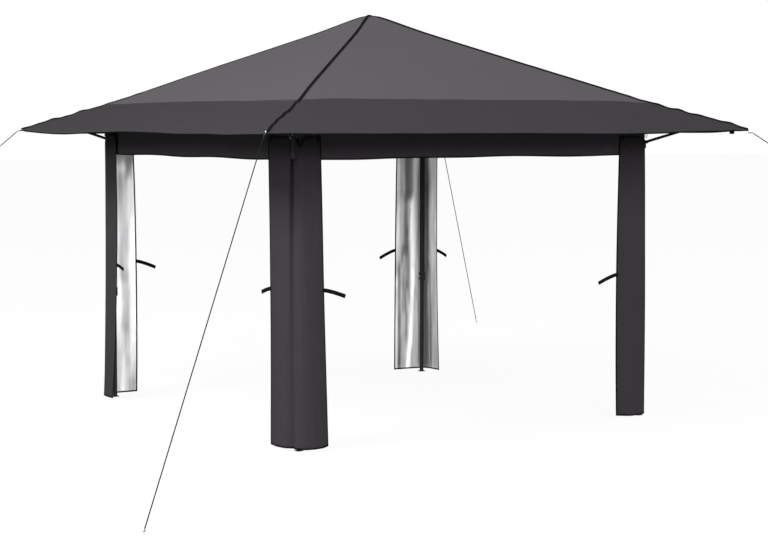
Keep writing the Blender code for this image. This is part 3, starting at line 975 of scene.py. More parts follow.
# Plans at the top, the middle and the hem, left to right as seen from outside
CURTAINS = {
    "front_left": (
        ((-1.508, -1.160), (-1.502, -1.270), (-1.503, -1.345), (-1.502, -1.385),
         (-1.496, -1.405), (-1.486, -1.417), (-1.462, -1.403), (-1.448, -1.411),
         (-1.470, -1.432), (-1.478, -1.455), (-1.471, -1.483), (-1.462, -1.499),
         (-1.440, -1.504), (-1.385, -1.502), (-1.303, -1.493)),
        ((-1.525, -1.214), (-1.524, -1.300), (-1.517, -1.352), (-1.506, -1.382),
         (-1.490, -1.404), (-1.467, -1.416), (-1.479, -1.438), (-1.474, -1.468),
         (-1.458, -1.497), (-1.430, -1.512), (-1.375, -1.520), (-1.330, -1.518),
         (-1.284, -1.505)),
        ((-1.530, -1.223), (-1.532, -1.310), (-1.525, -1.368), (-1.508, -1.398),
         (-1.473, -1.429), (-1.484, -1.452), (-1.477, -1.482), (-1.460, -1.508),
         (-1.432, -1.528), (-1.375, -1.541), (-1.310, -1.530), (-1.243, -1.485)),
    ),
    "front_right": (
        ((1.190, -1.491), (1.300, -1.499), (1.372, -1.497), (1.425, -1.478),
         (1.455, -1.463), (1.480, -1.430), (1.494, -1.360), (1.492, -1.235)),
        ((1.172, -1.496), (1.290, -1.516), (1.400, -1.510), (1.454, -1.485),
         (1.485, -1.443), (1.499, -1.360), (1.500, -1.225)),
        ((1.200, -1.482), (1.290, -1.535), (1.400, -1.522), (1.456, -1.488),
         (1.497, -1.442), (1.529, -1.360), (1.527, -1.220)),
    ),
    "back_right": (
        ((1.497, 1.291), (1.499, 1.370), (1.497, 1.450), (1.483, 1.483),
         (1.450, 1.497), (1.350, 1.499), (1.213, 1.496)),
        ((1.505, 1.305), (1.515, 1.390), (1.515, 1.460), (1.498, 1.498),
         (1.455, 1.512), (1.350, 1.516), (1.204, 1.503)),
        ((1.530, 1.300), (1.538, 1.400), (1.535, 1.480), (1.518, 1.520),
         (1.470, 1.535), (1.360, 1.538), (1.214, 1.525)),
    ),
    "back_left": (
        ((-1.247, 1.492), (-1.350, 1.499), (-1.465, 1.501), (-1.492, 1.487),
         (-1.501, 1.440), (-1.504, 1.360), (-1.509, 1.240)),
        ((-1.226, 1.492), (-1.350, 1.504), (-1.464, 1.505), (-1.494, 1.491),
         (-1.508, 1.440), (-1.519, 1.360), (-1.522, 1.214)),
        ((-1.231, 1.494), (-1.350, 1.511), (-1.471, 1.514), (-1.511, 1.502),
         (-1.535, 1.450), (-1.552, 1.360), (-1.553, 1.244)),
    ),
}

# Which point of each plan is the crease at the corner, and how far along the cloth it lies
CREASE = {"front_left": (7, 5, 4), "front_right": (4, 3, 3), "back_right": (3, 3, 3),
          "back_left": (3, 3, 3)}
CREASE_S = 0.45
SLOW_WAVE = 0.005           # broad and narrow ripples of a hanging curtain
QUICK_WAVE = 0.0022


def even_line(points, crease, count=240, passes=8):
    """A soft line through the points, as a function of s that runs at an even pace.

    The point with the number in crease always lies at CREASE_S, so that one crease runs
    from the top of the cloth to its hem.
    """
    corners = [Vector(p) for p in points]
    gone = lengths(corners)
    line = []
    for i in range(count + 1):
        s = i / count
        goal = gone[crease] * s / CREASE_S
        if s > CREASE_S:
            goal = gone[crease] + (gone[-1] - gone[crease]) * (s - CREASE_S) / (1 - CREASE_S)
        k = max(n for n in range(len(gone) - 1) if gone[n] <= goal + 1e-9)
        line.append(corners[k].lerp(corners[k + 1], (goal - gone[k]) / (gone[k + 1] - gone[k])))
    for _ in range(passes):
        inside = [(a + 2 * b + c) / 4 for a, b, c in zip(line, line[1:], line[2:])]
        line = [line[0]] + inside + [line[-1]]

    def at(s):
        i = min(int(s * count), count - 1)
        return line[i].lerp(line[i + 1], s * count - i)

    return at


def curtain_rule(corner):
    """place(s, t) of one curtain: s from its left edge as seen from outside, t upwards."""
    top, middle, hem = (even_line(points, crease)
                        for points, crease in zip(CURTAINS[corner], CREASE[corner]))
    sx, sy = CORNERS[corner]
    seed = 5.3 * list(CORNERS).index(corner)
    turn = max((i / 100 for i in range(101)), key=lambda s: sx * top(s).x + sy * top(s).y)

    def place(s, t):
        tall = CURTAIN_HEAD - NOTCH * hill(s - turn, 0.06) - CURTAIN_LOW
        hang = 0.004 * math.sin(math.pi * s)
        z = CURTAIN_LOW + tall * t + (0.005 - hang) * (1 - t)
        u = (z - CURTAIN_LOW) / (CURTAIN_TOP - CURTAIN_LOW)
        weights = (2 * u * (u - 0.5), 4 * u * (1 - u), 2 * (u - 0.5) * (u - 1))
        point = top(s) * weights[0] + middle(s) * weights[1] + hem(s) * weights[2]
        ahead = (middle(min(1.0, s + 0.01)) - middle(max(0.0, s - 0.01))).normalized()
        out = Vector((ahead.y, -ahead.x))
        slow = noise.noise(Vector((s * 3.8, u * 1.3, seed)))
        quick = noise.noise(Vector((s * 10.0, u * 2.6, seed + 9.0)))
        ripple = SLOW_WAVE * slow + QUICK_WAVE * quick
        point += out * ripple * min(1.0, max(0.0, (1 - u) * 6))
        return Vector((point.x, point.y, z))

    return place


# %% [markdown]
# On the silver side each old crease is painted as a dark or bright streak: a painted
# reflection of another part of the surroundings, and in places painted shade, as beside
# the leg. Which way a crease turns can't be left to chance on the two curtains whose
# insides are in view, so their painted streaks are listed: lower end, upper end, half
# width and tone. A rule turns the list into one value for each point of the cloth, and
# the lining's finish reads it.

# %% Painted streaks on the linings
# Painted light on the linings, darker towards the hem: its value at the hem and at the head
LINING_TONE = {"back_left": (-0.05, 1.05), "back_right": (-0.10, 0.80)}    # hem, head
# Painted streaks of reflection and shade: lower end, upper end, half width and tone
PAINTED_STREAKS = {
    "back_right": (
        (0.73, 0.735, 1.05, 0.755, 0.105, -1.35), (0.50, 0.795, 0.74, 0.800, 0.052, -1.10),
        (0.24, 0.815, 0.52, 0.820, 0.055, -0.72), (0.34, 0.745, 0.60, 0.750, 0.030, -0.45),
        (0.12, 0.755, 0.38, 0.760, 0.030, -0.35), (0.45, 0.875, 1.05, 0.885, 0.035, -0.70),
        (0.40, 0.950, 1.05, 0.950, 0.050, -0.50), (0.00, 0.905, 0.45, 0.905, 0.030, -0.72),
        (0.40, 0.644, 0.74, 0.652, 0.030, 0.35), (0.10, 0.682, 0.42, 0.642, 0.034, 0.45),
        (0.28, 0.715, 0.75, 0.722, 0.028, -0.38), (0.00, 0.532, 1.05, 0.532, 0.022, -0.55),
        (0.00, 0.735, 0.12, 0.690, 0.034, 0.50), (0.45, 0.610, 1.05, 0.610, 0.035, 0.30),
        (0.00, 0.840, 0.24, 0.830, 0.090, -0.35), (0.00, 0.440, 1.05, 0.440, 0.070, -1.35),
        (0.43, 0.350, 1.05, 0.350, 0.030, -0.75), (0.00, 0.350, 0.45, 0.350, 0.030, -0.30),
        (0.00, 0.265, 0.45, 0.290, 0.030, -0.50), (0.00, 0.200, 1.05, 0.200, 0.200, -0.12),
    ),
    "back_left": (
        (0.44, 0.175, 0.86, 0.175, 0.068, -0.54), (0.24, 0.155, 0.46, 0.160, 0.055, -0.36),
        (0.10, 0.125, 0.26, 0.145, 0.034, -0.30), (0.89, 0.130, 1.05, 0.130, 0.200, -1.10),
        (0.84, 0.080, 0.90, 0.080, 0.050, -0.80), (0.00, 0.060, 0.06, 0.060, 0.060, -0.30),
    ),
}


# The painted light on a lining, at each point of the cloth
def painted_streak_rule(corner):
    at_hem, at_head = LINING_TONE.get(corner, (0.0, 0.0))

    def tone(s, t):
        total = at_hem + (at_head - at_hem) * t
        for low, s_low, high, s_high, half, value in PAINTED_STREAKS.get(corner, ()):
            share = min(1.0, max(0.0, (t - low) / (high - low)))
            middle = s_low + (s_high - s_low) * share
            ends = ease((t - low) / 0.06 + 0.5) * ease((high - t) / 0.06 + 0.5)
            total += value * math.exp(-((s - middle) / half) ** 4) * ends
        return total

    return tone


# %% Build the curtains
CURTAIN_COLUMNS = 76
CURTAIN_ROWS = 120
TAPE_STEPS = 60
HEM_TAPE = 0.010
HEM_THICK = 0.0028


def edge_tape(bm, place, path, inward):
    """A bound edge: a flat tape that wraps the cloth along a path of (s, t)."""
    profile = ((0.0015, 0.0), (0.0, HEM_THICK / 2), (-HEM_TAPE, HEM_THICK / 2),
               (-HEM_TAPE, -HEM_THICK / 2), (0.0, -HEM_THICK / 2))
    stations = []
    for s, t in path:
        here = place(s, t)
        ins = place(s + inward[0], t + inward[1])
        edge = (here - ins).normalized()
        du = place(min(1.0, s + 0.01), t) - place(max(0.0, s - 0.01), t)
        dv = place(s, min(1.0, t + 0.01)) - place(s, max(0.0, t - 0.01))
        normal = du.cross(dv).normalized()
        stations.append((here - normal * CLOTH_THICK / 2, edge, normal))
    add_sweep(bm, stations, profile)


curtains = {}
for corner in CORNERS:
    place = curtain_rule(corner)
    drape_bm = bmesh.new()
    # The lining gets its painted streaks of reflection and shade with the grid
    cloth_grid(drape_bm, CURTAIN_COLUMNS, CURTAIN_ROWS, place, painted_streak_of=painted_streak_rule(corner))
    drape_area = flat_area(drape_bm)
    drape = new_cloth(f"curtain_cloth_{corner}", drape_bm, (CURTAIN_CLOTH, LINING),
                      lining=1, replaces=[f"corner_curtain_{corner}"])
    tape_bm = bmesh.new()
    steps = [i / TAPE_STEPS for i in range(TAPE_STEPS + 1)]
    edge_tape(tape_bm, place, [(0.0, t) for t in steps], (0.02, 0.0))
    edge_tape(tape_bm, place, [(1.0, t) for t in steps], (-0.02, 0.0))
    edge_tape(tape_bm, place, [(s, 0.0) for s in steps], (0.0, 0.01))
    tape = new_piece(f"curtain_binding_{corner}", tape_bm, (BINDING,))
    curtains[corner] = place
    print(f"{corner}: {drape_area:.2f} m2 of cloth, {place(0, 0.5).x:.3f}, {place(0, 0.5).y:.3f}")

# %% [markdown]
# ## Webbing ties and hangers
# A black webbing tie is sewn to each free edge, to hold the curtain back at the leg. Here
# they hang loose: each one leaves the edge along its side of the gazebo and droops under
# its own weight. Webbing straps carry the curtain's head from the bend of the roof. The
# strap beside the corner ends in a zinc ring, so that the curtain can be taken down.

# %% Build the ties
TIE_Z = 1.05
TIE_SEWN = 0.014            # this much of it lies on the cloth
TIE_LEAVES = 0.03           # it turns away from the cloth over this length
TIE_OFF = 0.0022
TIE_STEPS = 16
TIE_PROFILE = rounded_rect(0.0016, 0.027, 0.0007, 1)

# Length beyond the edge and drop at the end, for the right and the left edge
TIES = {
    "front_left": ((0.168, 0.047), (0.120, 0.031)),
    "front_right": ((0.120, 0.050), (0.172, 0.056)),
    "back_right": ((0.160, 0.062), (0.145, 0.038)),
    "back_left": ((0.130, 0.030), (0.172, 0.055)),
}


def quarter_turned(vector, corner):
    """A vector of the front left corner, turned to the same place at another corner."""
    turned = Matrix.Rotation(math.pi / 2 * list(CORNERS).index(corner), 3, "Z")
    return turned @ Vector(vector)


def add_tie(bm, place, right_edge, away, reach, drop):
    """A tie: sewn flat to the cloth, then free along the level direction away."""
    t = (TIE_Z - CURTAIN_LOW) / (CURTAIN_HEAD - CURTAIN_LOW)
    edge_s, sign = (1.0, 1) if right_edge else (0.0, -1)
    stations = []
    for i in range(TIE_STEPS + 1):
        gone = -TIE_SEWN + (reach + TIE_SEWN) * i / TIE_STEPS
        inside = min(0.0, gone) / CURTAIN_WIDTH
        point = place(edge_s + sign * inside, t)
        way = point - place(edge_s + sign * (inside - 0.02), t)
        way.z = 0
        way = way.normalized().lerp(away, ease(gone / TIE_LEAVES + 0.5)).normalized()
        share = max(0.0, gone / reach)
        face = way.cross(UP) * sign
        point += away * max(0.0, gone) * (1 - 0.04 * share) + face * TIE_OFF
        point.z -= drop * share ** 1.25
        fall = math.atan(1.25 * drop / reach * share ** 0.25)
        stations.append((point, face, UP * math.cos(fall) + way * math.sin(fall)))
    add_sweep(bm, stations, TIE_PROFILE)


for corner, place in curtains.items():
    tie_bm = bmesh.new()
    for right_edge, away, (reach, drop) in zip(
            (True, False), ((1, 0, 0), (0, 1, 0)), TIES[corner]):
        add_tie(tie_bm, place, right_edge, quarter_turned(away, corner), reach, drop)
    new_piece(f"curtain_ties_{corner}", tie_bm, (WEBBING,))
print("ties sewn on", len(curtains), "curtains")

# %% Build the hangers
HANGER_RING = rounded_rect(0.0150, 0.032, 0.0070, 4)
HANGER_WIRE = 0.0022
RING_SPOT = (-1.494, -1.441, 2.0565)
RING_TOP = 0.0125           # from the ring's middle to the strap
STRAP_PROFILE = rounded_rect(0.0014, 0.016, 0.0006, 1)


def add_strap(bm, foot, side, out):
    """Webbing from the curtain's head or a ring up to the cloth at the bend."""
    scale = (BEND - 0.003) / max(abs(foot.x), abs(foot.y))
    head = Vector((foot.x * scale, foot.y * scale, 0.0))
    head.z = roof_z(head.x, head.y) - 0.0015
    add_sweep(bm, [(foot, out, side), (foot + UP * 0.02, out, side), (head, out, side)],
              STRAP_PROFILE)


for corner, place in curtains.items():
    strap_bm = bmesh.new()
    spot = quarter_turned(RING_SPOT, corner)
    out = quarter_turned((-1, 0, 0), corner)
    side = quarter_turned((0, -1, 0), corner)
    add_strap(strap_bm, spot + UP * RING_TOP, side, out)
    add_ring(strap_bm, frame_at(spot, side, out), HANGER_RING, HANGER_WIRE, slot=1)
    for s, out, side in ((0.05, out, side), (0.95, side, -out)):
        add_strap(strap_bm, place(s, 0.985) + out * 0.0012, side, out)
    new_piece(f"curtain_hangers_{corner}", strap_bm, (WEBBING, ZINC))
print("hangers on", len(curtains), "curtains")

# %% [markdown]
# ## Legs
# A leg is two square tubes. The outer one ends in a nylon guide with a snap button, and
# the inner one has a row of holes for it and stands on a welded foot plate. The tubes
# have rounded corners, because they are rolled from strip, and the outer one is hollow,
# so that the inner one has room when the leg is pushed together.

# %% Build the legs
TUBE_HALF = 0.016
WALL_THICK = 0.0015
INNER_HALF = 0.0125
TUBE_TOP = outer_high.z
GUIDE_LOW = outer_low.z
GUIDE_HIGH = GUIDE_LOW + 0.065
INNER_TOP = box("leg_inner_back_right")[1].z
FOOT_HALF = 0.026
FOOT_THICK = 0.005
FOOT_HOLE = 0.0030
FOOT_HOLE_OUT = 0.0178      # from the tube's middle, both ways
HOLES = 8
HOLE_PITCH = 0.075
HOLE_FIRST = 0.21
HOLE_RADIUS = 0.0042


def leg_at(sx, sy, z=0.0):
    return Vector((sx * LEG, sy * LEG, z))


def cut_holes(obj, axes, radius, depth):
    """Drill round holes through a mesh, one for each place whose Z is the hole's axis."""
    bm = bmesh.new()
    for place in axes:
        add_turned(bm, place, ((radius, -depth), (radius, depth)), 14)
    mesh = bpy.data.meshes.new("drill")
    bm.to_mesh(mesh)
    bm.free()
    drill = bpy.data.objects.new("drill", mesh)
    PIECES.objects.link(drill)
    cut = obj.modifiers.new("holes", "BOOLEAN")
    cut.operation = "DIFFERENCE"
    cut.object = drill
    evaluated = obj.evaluated_get(bpy.context.evaluated_depsgraph_get())
    drilled = bpy.data.meshes.new_from_object(evaluated)
    obj.modifiers.remove(cut)
    obj.data = drilled
    bpy.data.objects.remove(drill, do_unlink=True)
    drilled.set_sharp_from_angle(angle=SHARP)


def outer_tube(corner, sx, sy):
    place = Matrix.Translation(leg_at(sx, sy))
    bore = TUBE_HALF - WALL_THICK
    guide_bore = INNER_HALF + 0.0006
    bm = bmesh.new()
    add_stack(bm, place, (
        (TUBE_HALF, GUIDE_HIGH - 0.02, 0.003), (TUBE_HALF, TUBE_TOP, 0.003),
        (bore, TUBE_TOP, 0.002), (bore, GUIDE_HIGH - 0.02, 0.002),
    ), loop=True)
    add_stack(bm, place, (
        (0.0195, GUIDE_LOW, 0.004), (0.0215, GUIDE_LOW + 0.003, 0.005),
        (0.0215, GUIDE_LOW + 0.012, 0.005), (0.0200, GUIDE_LOW + 0.015, 0.005),
        (0.0200, GUIDE_HIGH - 0.015, 0.005), (0.0215, GUIDE_HIGH - 0.012, 0.005),
        (0.0215, GUIDE_HIGH - 0.003, 0.005), (0.0190, GUIDE_HIGH, 0.004),
        (TUBE_HALF + 0.0002, GUIDE_HIGH, 0.003), (TUBE_HALF + 0.0002, GUIDE_LOW + 0.02, 0.003),
        (guide_bore, GUIDE_LOW + 0.02, 0.002), (guide_bore, GUIDE_LOW, 0.002),
    ), slot=1, loop=True)
    new_piece(f"outer_tube_{corner}", bm, (POWDER, NYLON), replaces=[f"leg_outer_{corner}"])


def snap_button(bm, point, out):
    """A domed steel button in a nylon boss."""
    place = frame_at(point, out, UP)
    add_turned(bm, place, ((0.0, -0.004), (0.010, -0.004), (0.010, 0.003), (0.008, 0.005),
                           (0.0055, 0.005), (0.0055, 0.002), (0.0, 0.002)), 18, slot=0)
    add_turned(bm, place, ((0.0, 0.0015), (0.0045, 0.0015), (0.0045, 0.006), (0.0032, 0.0078),
                           (0.0, 0.0085)), 16, slot=1)


def inner_tube(corner, sx, sy):
    """The sliding tube, its foot plate and the weld between them."""
    place = Matrix.Translation(leg_at(sx, sy))
    tube_bm, foot_bm, weld_bm = (bmesh.new() for _ in range(3))
    bore = INNER_HALF - 0.0012
    add_stack(tube_bm, place, (
        (INNER_HALF, FOOT_THICK - 0.0005, 0.0025), (INNER_HALF, INNER_TOP, 0.0025),
        (bore, INNER_TOP, 0.0018), (bore, FOOT_THICK - 0.0005, 0.0018),
    ), loop=True)
    add_stack(foot_bm, place, (
        (FOOT_HALF - 0.0008, 0.0, 0.011), (FOOT_HALF, 0.0008, 0.012),
        (FOOT_HALF, FOOT_THICK - 0.0012, 0.012), (FOOT_HALF - 0.0012, FOOT_THICK, 0.011),
    ))
    weld = ((0.0035, -0.0004, 0.006), (0.0030, 0.0010, 0.005), (0.0008, 0.0038, 0.003),
            (-0.0003, 0.0040, 0.003), (-0.0003, -0.0004, 0.003))
    add_stack(weld_bm, place, [(INNER_HALF + wide, FOOT_THICK + z, r) for wide, z, r in weld],
              loop=True)
    body = f"leg_{corner}"
    tube = new_piece(f"inner_tube_{corner}", tube_bm, (POWDER,), body,
                     replaces=[f"leg_inner_{corner}"])
    foot = new_piece(f"foot_plate_{corner}", foot_bm, (POWDER,), body)
    new_piece(f"foot_weld_{corner}", weld_bm, (POWDER,), body)
    inward = Vector((-sx, 0, 0))
    cut_holes(tube, [frame_at(leg_at(sx, sy, HOLE_FIRST + k * HOLE_PITCH) + inward * INNER_HALF,
                              inward, UP) for k in range(HOLES)], HOLE_RADIUS, 0.006)
    spots = [leg_at(sx, sy, FOOT_THICK / 2) + Vector((dx, dy, 0)) * FOOT_HOLE_OUT
             for dx in (-1, 1) for dy in (-1, 1)]
    cut_holes(foot, [Matrix.Translation(spot) for spot in spots], FOOT_HOLE, 0.01)


for corner, (sx, sy) in CORNERS.items():
    outer_tube(corner, sx, sy)
    inner_tube(corner, sx, sy)
    button_bm = bmesh.new()
    middle = (GUIDE_LOW + GUIDE_HIGH) / 2
    snap_button(button_bm, Vector((sx * (LEG - 0.0205), sy * LEG, middle)), (-sx, 0, 0))
    new_piece(f"snap_button_{corner}", button_bm, (NYLON, ZINC))
print("legs built:", len(CORNERS))

# %% [markdown]
# ## Brackets
# The top bracket and the slider are nylon mouldings: a sleeve around the tube with a pair
# of lugs for each bar that is pinned to it. A steel bolt goes through each pair.

# %% Build the brackets
SLEEVE = 0.0225
LUG_OUT = 0.052             # how far the lugs reach from the tube's middle
LUG_START = 0.018
LUG_THICK = 0.0035
PIN_BACK = 0.009            # from the lugs' ends to the bolt
BOLT_HEAD = ((0.0, 0.0), (0.0062, 0.0), (0.0062, 0.0022), (0.0048, 0.0042), (0.0, 0.0050))
BRACE_PIN_Z = 2.008         # the eave brace at the slider
BAR_Z = 2.262               # roof and eave bars at the top bracket
TRUSS_HIGH = 2.236
TRUSS_LOW = 1.992
BORE = TUBE_HALF + 0.0003   # the brackets fit round the tube with this


def add_bolt(bm, point, axis, half, slot=1):
    """A bolt across two lugs: a domed head at each end."""
    axis = Vector(axis).normalized()
    for sign in (1, -1):
        place = frame_at(Vector(point) + axis * half * sign, axis * sign, UP)
        add_turned(bm, place, BOLT_HEAD, 12, slot=slot)


def add_lugs(bm, centre, out, gap, height, reach=LUG_OUT, bolt=1):
    """Two plates that stand out from the sleeve, with a bolt through them."""
    aside = out.cross(UP).normalized()
    for sign in (1, -1):
        middle = centre + out * ((reach + LUG_START) / 2) + aside * sign * (gap + LUG_THICK) / 2
        add_block(bm, frame_at(middle, UP, out), (reach - LUG_START, LUG_THICK, height))
    add_bolt(bm, centre + out * (reach - PIN_BACK), aside, gap / 2 + LUG_THICK, slot=bolt)


def outward(sx, sy):
    """The level direction from the middle to a corner."""
    return Vector((sx, sy, 0)).normalized()


def bracket(name, node, corner, truss_z, sections):
    """A sleeve round the tube, with lugs for the trusses of both sides."""
    sx, sy = CORNERS[corner]
    bm = bmesh.new()
    low, high = (end.z for end in box(f"{node}_back_right"))
    add_stack(bm, Matrix.Translation(leg_at(sx, sy)), sections(low, high), loop=True)
    for way in (Vector((-sx, 0, 0)), Vector((0, -sy, 0))):
        add_lugs(bm, leg_at(sx, sy, truss_z), way, 0.0135, 0.030)
    out = outward(sx, sy)
    if node == "slider":
        add_lugs(bm, leg_at(sx, sy, BRACE_PIN_Z), out, 0.0105, 0.022, 0.046, bolt=0)
        snap_button(bm, leg_at(sx, sy, (low + high) / 2) - out * (SLEEVE * 1.15), -out)
    else:
        add_lugs(bm, leg_at(sx, sy, BAR_Z - 0.002), -out, 0.0155, 0.028)
        add_lugs(bm, leg_at(sx, sy, BAR_Z - 0.004), out, 0.0125, 0.026, 0.048, bolt=0)
    new_piece(f"{name}_{corner}", bm, (NYLON, ZINC),
              replaces=[f"{node}_{corner}"])


def top_sections(low, high):
    return ((BORE, low, 0.003), (SLEEVE - 0.001, low, 0.005),
            (SLEEVE, low + 0.002, 0.006), (SLEEVE, high - 0.006, 0.006),
            (SLEEVE - 0.004, high - 0.001, 0.006), (0.004, high, 0.003),
            (0.004, TUBE_TOP + 0.0005, 0.003), (BORE, TUBE_TOP + 0.0005, 0.003))


def slider_sections(low, high):
    wide, loose = SLEEVE + 0.0015, BORE + 0.0001
    return ((loose, low, 0.003), (SLEEVE, low, 0.005), (wide, low + 0.003, 0.006),
            (wide, high - 0.003, 0.006), (SLEEVE, high, 0.005), (loose, high, 0.003))


for corner in CORNERS:
    bracket("leg_top", "top_bracket", corner, TRUSS_HIGH, top_sections)
    bracket("leg_slider", "slider", corner, TRUSS_LOW, slider_sections)
print("brackets built:", 2 * len(CORNERS))

# %% [markdown]
# ## Side trusses by rule
# Between two legs run pairs of crossed bars, pinned at the ends, where they cross and in
# the middle. The pattern is a rule: a zigzag whose points lie in turn high and low, and
# the same zigzag turned over. Geometry Nodes suits that. The tree takes the span, the
# heights and the bar's size as named inputs. Bolts and nylon plates are added after it.

# %% Truss tree
BAR_ROUND = 0.002           # radius of a bar's edges


def close_tree(tree, end, parts, material):
    """Join the parts, make them real and give them their material."""
    join = tree.nodes.new("GeometryNodeJoinGeometry")
    for part in parts:
        feed(tree, join, {"Geometry": part})
    real = add_node(tree, "GeometryNodeRealizeInstances", {"Geometry": join})
    feed(tree, end, {"Geometry": add_node(tree, "GeometryNodeSetMaterial", {
        "Geometry": real, "Material": material})})


def grow(name, tree, settings, source=None):
    """Run a tree on a mesh, or on nothing, and return what it makes as a bmesh."""
    seed = bpy.data.objects.new(name + "_seed", source or bpy.data.meshes.new(name))
    PIECES.objects.link(seed)
    modifier = seed.modifiers.new("nodes", "NODES")
    modifier.node_group = tree
    for item in tree.interface.items_tree:
        if item.in_out == "INPUT" and item.name in settings:
            modifier[item.identifier] = settings[item.name]
    evaluated = seed.evaluated_get(bpy.context.evaluated_depsgraph_get())
    grown = bpy.data.meshes.new_from_object(evaluated)
    bpy.data.objects.remove(seed, do_unlink=True)
    bm = bmesh.new()
    bm.from_mesh(grown)
    bpy.data.meshes.remove(grown)
    return bm


def make_truss_tree():
    tree, start, end = new_group("Geometry", "Crossed bars", {
        "Span": 2.8, "High": 2.2, "Low": 2.0, "Points": 3, "Bar depth": 0.02,
        "Bar thickness": 0.01, "Step aside": 0.006, "Bars": None}, ("Geometry",))
    half = maths(tree, "DIVIDE", start["Span"], 2.0)
    left = add_node(tree, "ShaderNodeCombineXYZ", {"X": maths(tree, "MULTIPLY", half, -1.0)})
    right = add_node(tree, "ShaderNodeCombineXYZ", {"X": half})
    rise = maths(tree, "SUBTRACT", start["Low"], start["High"])
    outline = add_node(tree, "GeometryNodeCurvePrimitiveQuadrilateral", {
        "Width": start["Bar thickness"], "Height": start["Bar depth"]})
    outline = add_node(tree, "GeometryNodeFilletCurve", {"Curve": outline, "Radius": BAR_ROUND})
    index = tree.nodes.new("GeometryNodeInputIndex")
    bars = []
    for turned in (0, 1):
        line = add_node(tree, "GeometryNodeMeshLine", {
            "Count": start["Points"], "Start Location": left, "Offset": right},
            mode="END_POINTS")
        odd = maths(tree, "MODULO", maths(tree, "ADD", index, turned), 2.0)
        shift = add_node(tree, "ShaderNodeCombineXYZ", {
            "Y": maths(tree, "MULTIPLY", start["Step aside"], 1.0 - 2.0 * turned),
            "Z": maths(tree, "ADD", maths(tree, "MULTIPLY", odd, rise), start["High"])})
        zigzag = add_node(tree, "GeometryNodeSetPosition", {"Geometry": line, "Offset": shift})
        curve = add_node(tree, "GeometryNodeMeshToCurve", {"Mesh": zigzag})
        upright = add_node(tree, "GeometryNodeSetCurveNormal", {
            "Curve": curve, "Normal": (0.0, 1.0, 0.0)}, mode="FREE")
        bars.append(add_node(tree, "GeometryNodeCurveToMesh", {
            "Curve": upright, "Profile Curve": outline, "Fill Caps": True}))
    close_tree(tree, end, bars, start["Bars"])
    return tree


TRUSS_TREE = make_truss_tree()
print("tree:", TRUSS_TREE.name)

# %% Build the trusses
BAR_DEEP = 0.020
BAR_THIN = 0.010
TRUSS_SPAN = 2 * (LEG - 0.040)
PLATE_THICK = 0.004         # of the nylon plates where four bars meet
PLATE_BOLT = 0.018          # their bolts stand this far from the middle

for side, name in enumerate(SIDES):
    where = Matrix.Rotation(math.pi / 2 * side, 4, "Z") @ Matrix.Translation((0, -LEG, 0))
    bars = grow(f"truss_bars_{name}", TRUSS_TREE, {
        "Span": TRUSS_SPAN, "High": TRUSS_HIGH, "Low": TRUSS_LOW, "Points": 3,
        "Bar depth": BAR_DEEP, "Bar thickness": BAR_THIN, "Step aside": BAR_THIN / 2 + 0.0002,
        "Bars": POWDER,
    })
    bmesh.ops.transform(bars, matrix=where, verts=bars.verts)
    bmesh.ops.recalc_face_normals(bars, faces=bars.faces)
    new_piece(f"truss_bars_{name}", bars, (POWDER,), replaces=[f"side_truss_{name}"])
    knuckle_bm = bmesh.new()
    out = where.to_3x3() @ Vector((0, 1, 0))
    for x in (-TRUSS_SPAN / 4, TRUSS_SPAN / 4):
        crossing = where @ Vector((x, 0, (TRUSS_HIGH + TRUSS_LOW) / 2))
        add_bolt(knuckle_bm, crossing, out, BAR_THIN)
    for z in (TRUSS_HIGH, TRUSS_LOW):
        for aside in (-1, 1):
            plate = where @ Matrix.Translation((0, aside * (BAR_THIN + 0.0025), z))
            add_block(knuckle_bm, plate, (0.056, PLATE_THICK, 0.026), 0.002)
        for x in (-PLATE_BOLT, PLATE_BOLT):
            add_bolt(knuckle_bm, where @ Vector((x, 0, z)), out, BAR_THIN + 0.0045)
    new_piece(f"truss_knuckles_{name}", knuckle_bm, (NYLON, ZINC))
print("trusses:", len(SIDES))

# %% [markdown]
# ## Hub, rafters, eave arms and braces
# The rafters are rectangular tubes with a folding joint halfway, pinned to the top
# brackets and to the hub. The eave arms carry the corners of the roof, and a brace from
# the slider props each one. All of them follow the axes of the solids that they replace.

# %% Axes of the bars
RAFTER_R, ARM_R, BRACE_R = 0.010, 0.008, 0.007      # radius of the solids' bars


def on_diagonal(sx, sy, distance, z):
    return Vector((sx * distance / ROOT2, sy * distance / ROOT2, z))


def bar_axis(node, sx, sy, radius, rises=False):
    """The inner and the outer end of a bar on a diagonal, from the box of its solid."""
    low, high = box(node)
    inner, outer = sorted((abs(low.x), abs(high.x)))
    tilt = math.atan2(high.z - low.z, (outer - inner) * ROOT2)
    pad = radius * math.sin(tilt)
    ends = [high.z - radius * math.cos(tilt), low.z + radius * math.cos(tilt)]
    if rises:
        ends.reverse()
    return (on_diagonal(sx, sy, inner * ROOT2 + pad, ends[0]),
            on_diagonal(sx, sy, outer * ROOT2 - pad, ends[1]))


top_of_rafter = bar_axis("rafter_back_right", 1, 1, RAFTER_R)[0]
print("rafters meet the hub at", round(top_of_rafter.z, 3), "m")

# %% Build hub and bars
RAFTER_PROFILE = rounded_rect(0.014, 0.022, 0.0025, 2)
ARM_PROFILE = rounded_rect(0.011, 0.016, 0.002, 2)
ARM_CAP = rounded_rect(0.013, 0.0175, 0.003, 2)
BRACE_PROFILE = rounded_rect(0.011, 0.020, 0.002, 2)
ARM_UNDER = 0.0135          # the arm's tip stays this far under the cloth
FOLD_GAP = 0.004            # half the gap at a rafter's folding joint
FOLD_BOLT = 0.030
HUB_LOW = box("centre_hub")[0].z
HUB_SHAPE = (
    (0.0, HUB_LOW), (0.040, HUB_LOW), (0.046, HUB_LOW + 0.004), (0.046, HUB_LOW + 0.012),
    (0.040, HUB_LOW + 0.016), (0.040, 2.878), (0.048, 2.884), (0.050, 2.890), (0.050, 2.912),
    (0.046, 2.9165), (0.030, 2.9205), (0.0, 2.923),
)


def across(sx, sy):
    return Vector((-sy, sx, 0)).normalized()


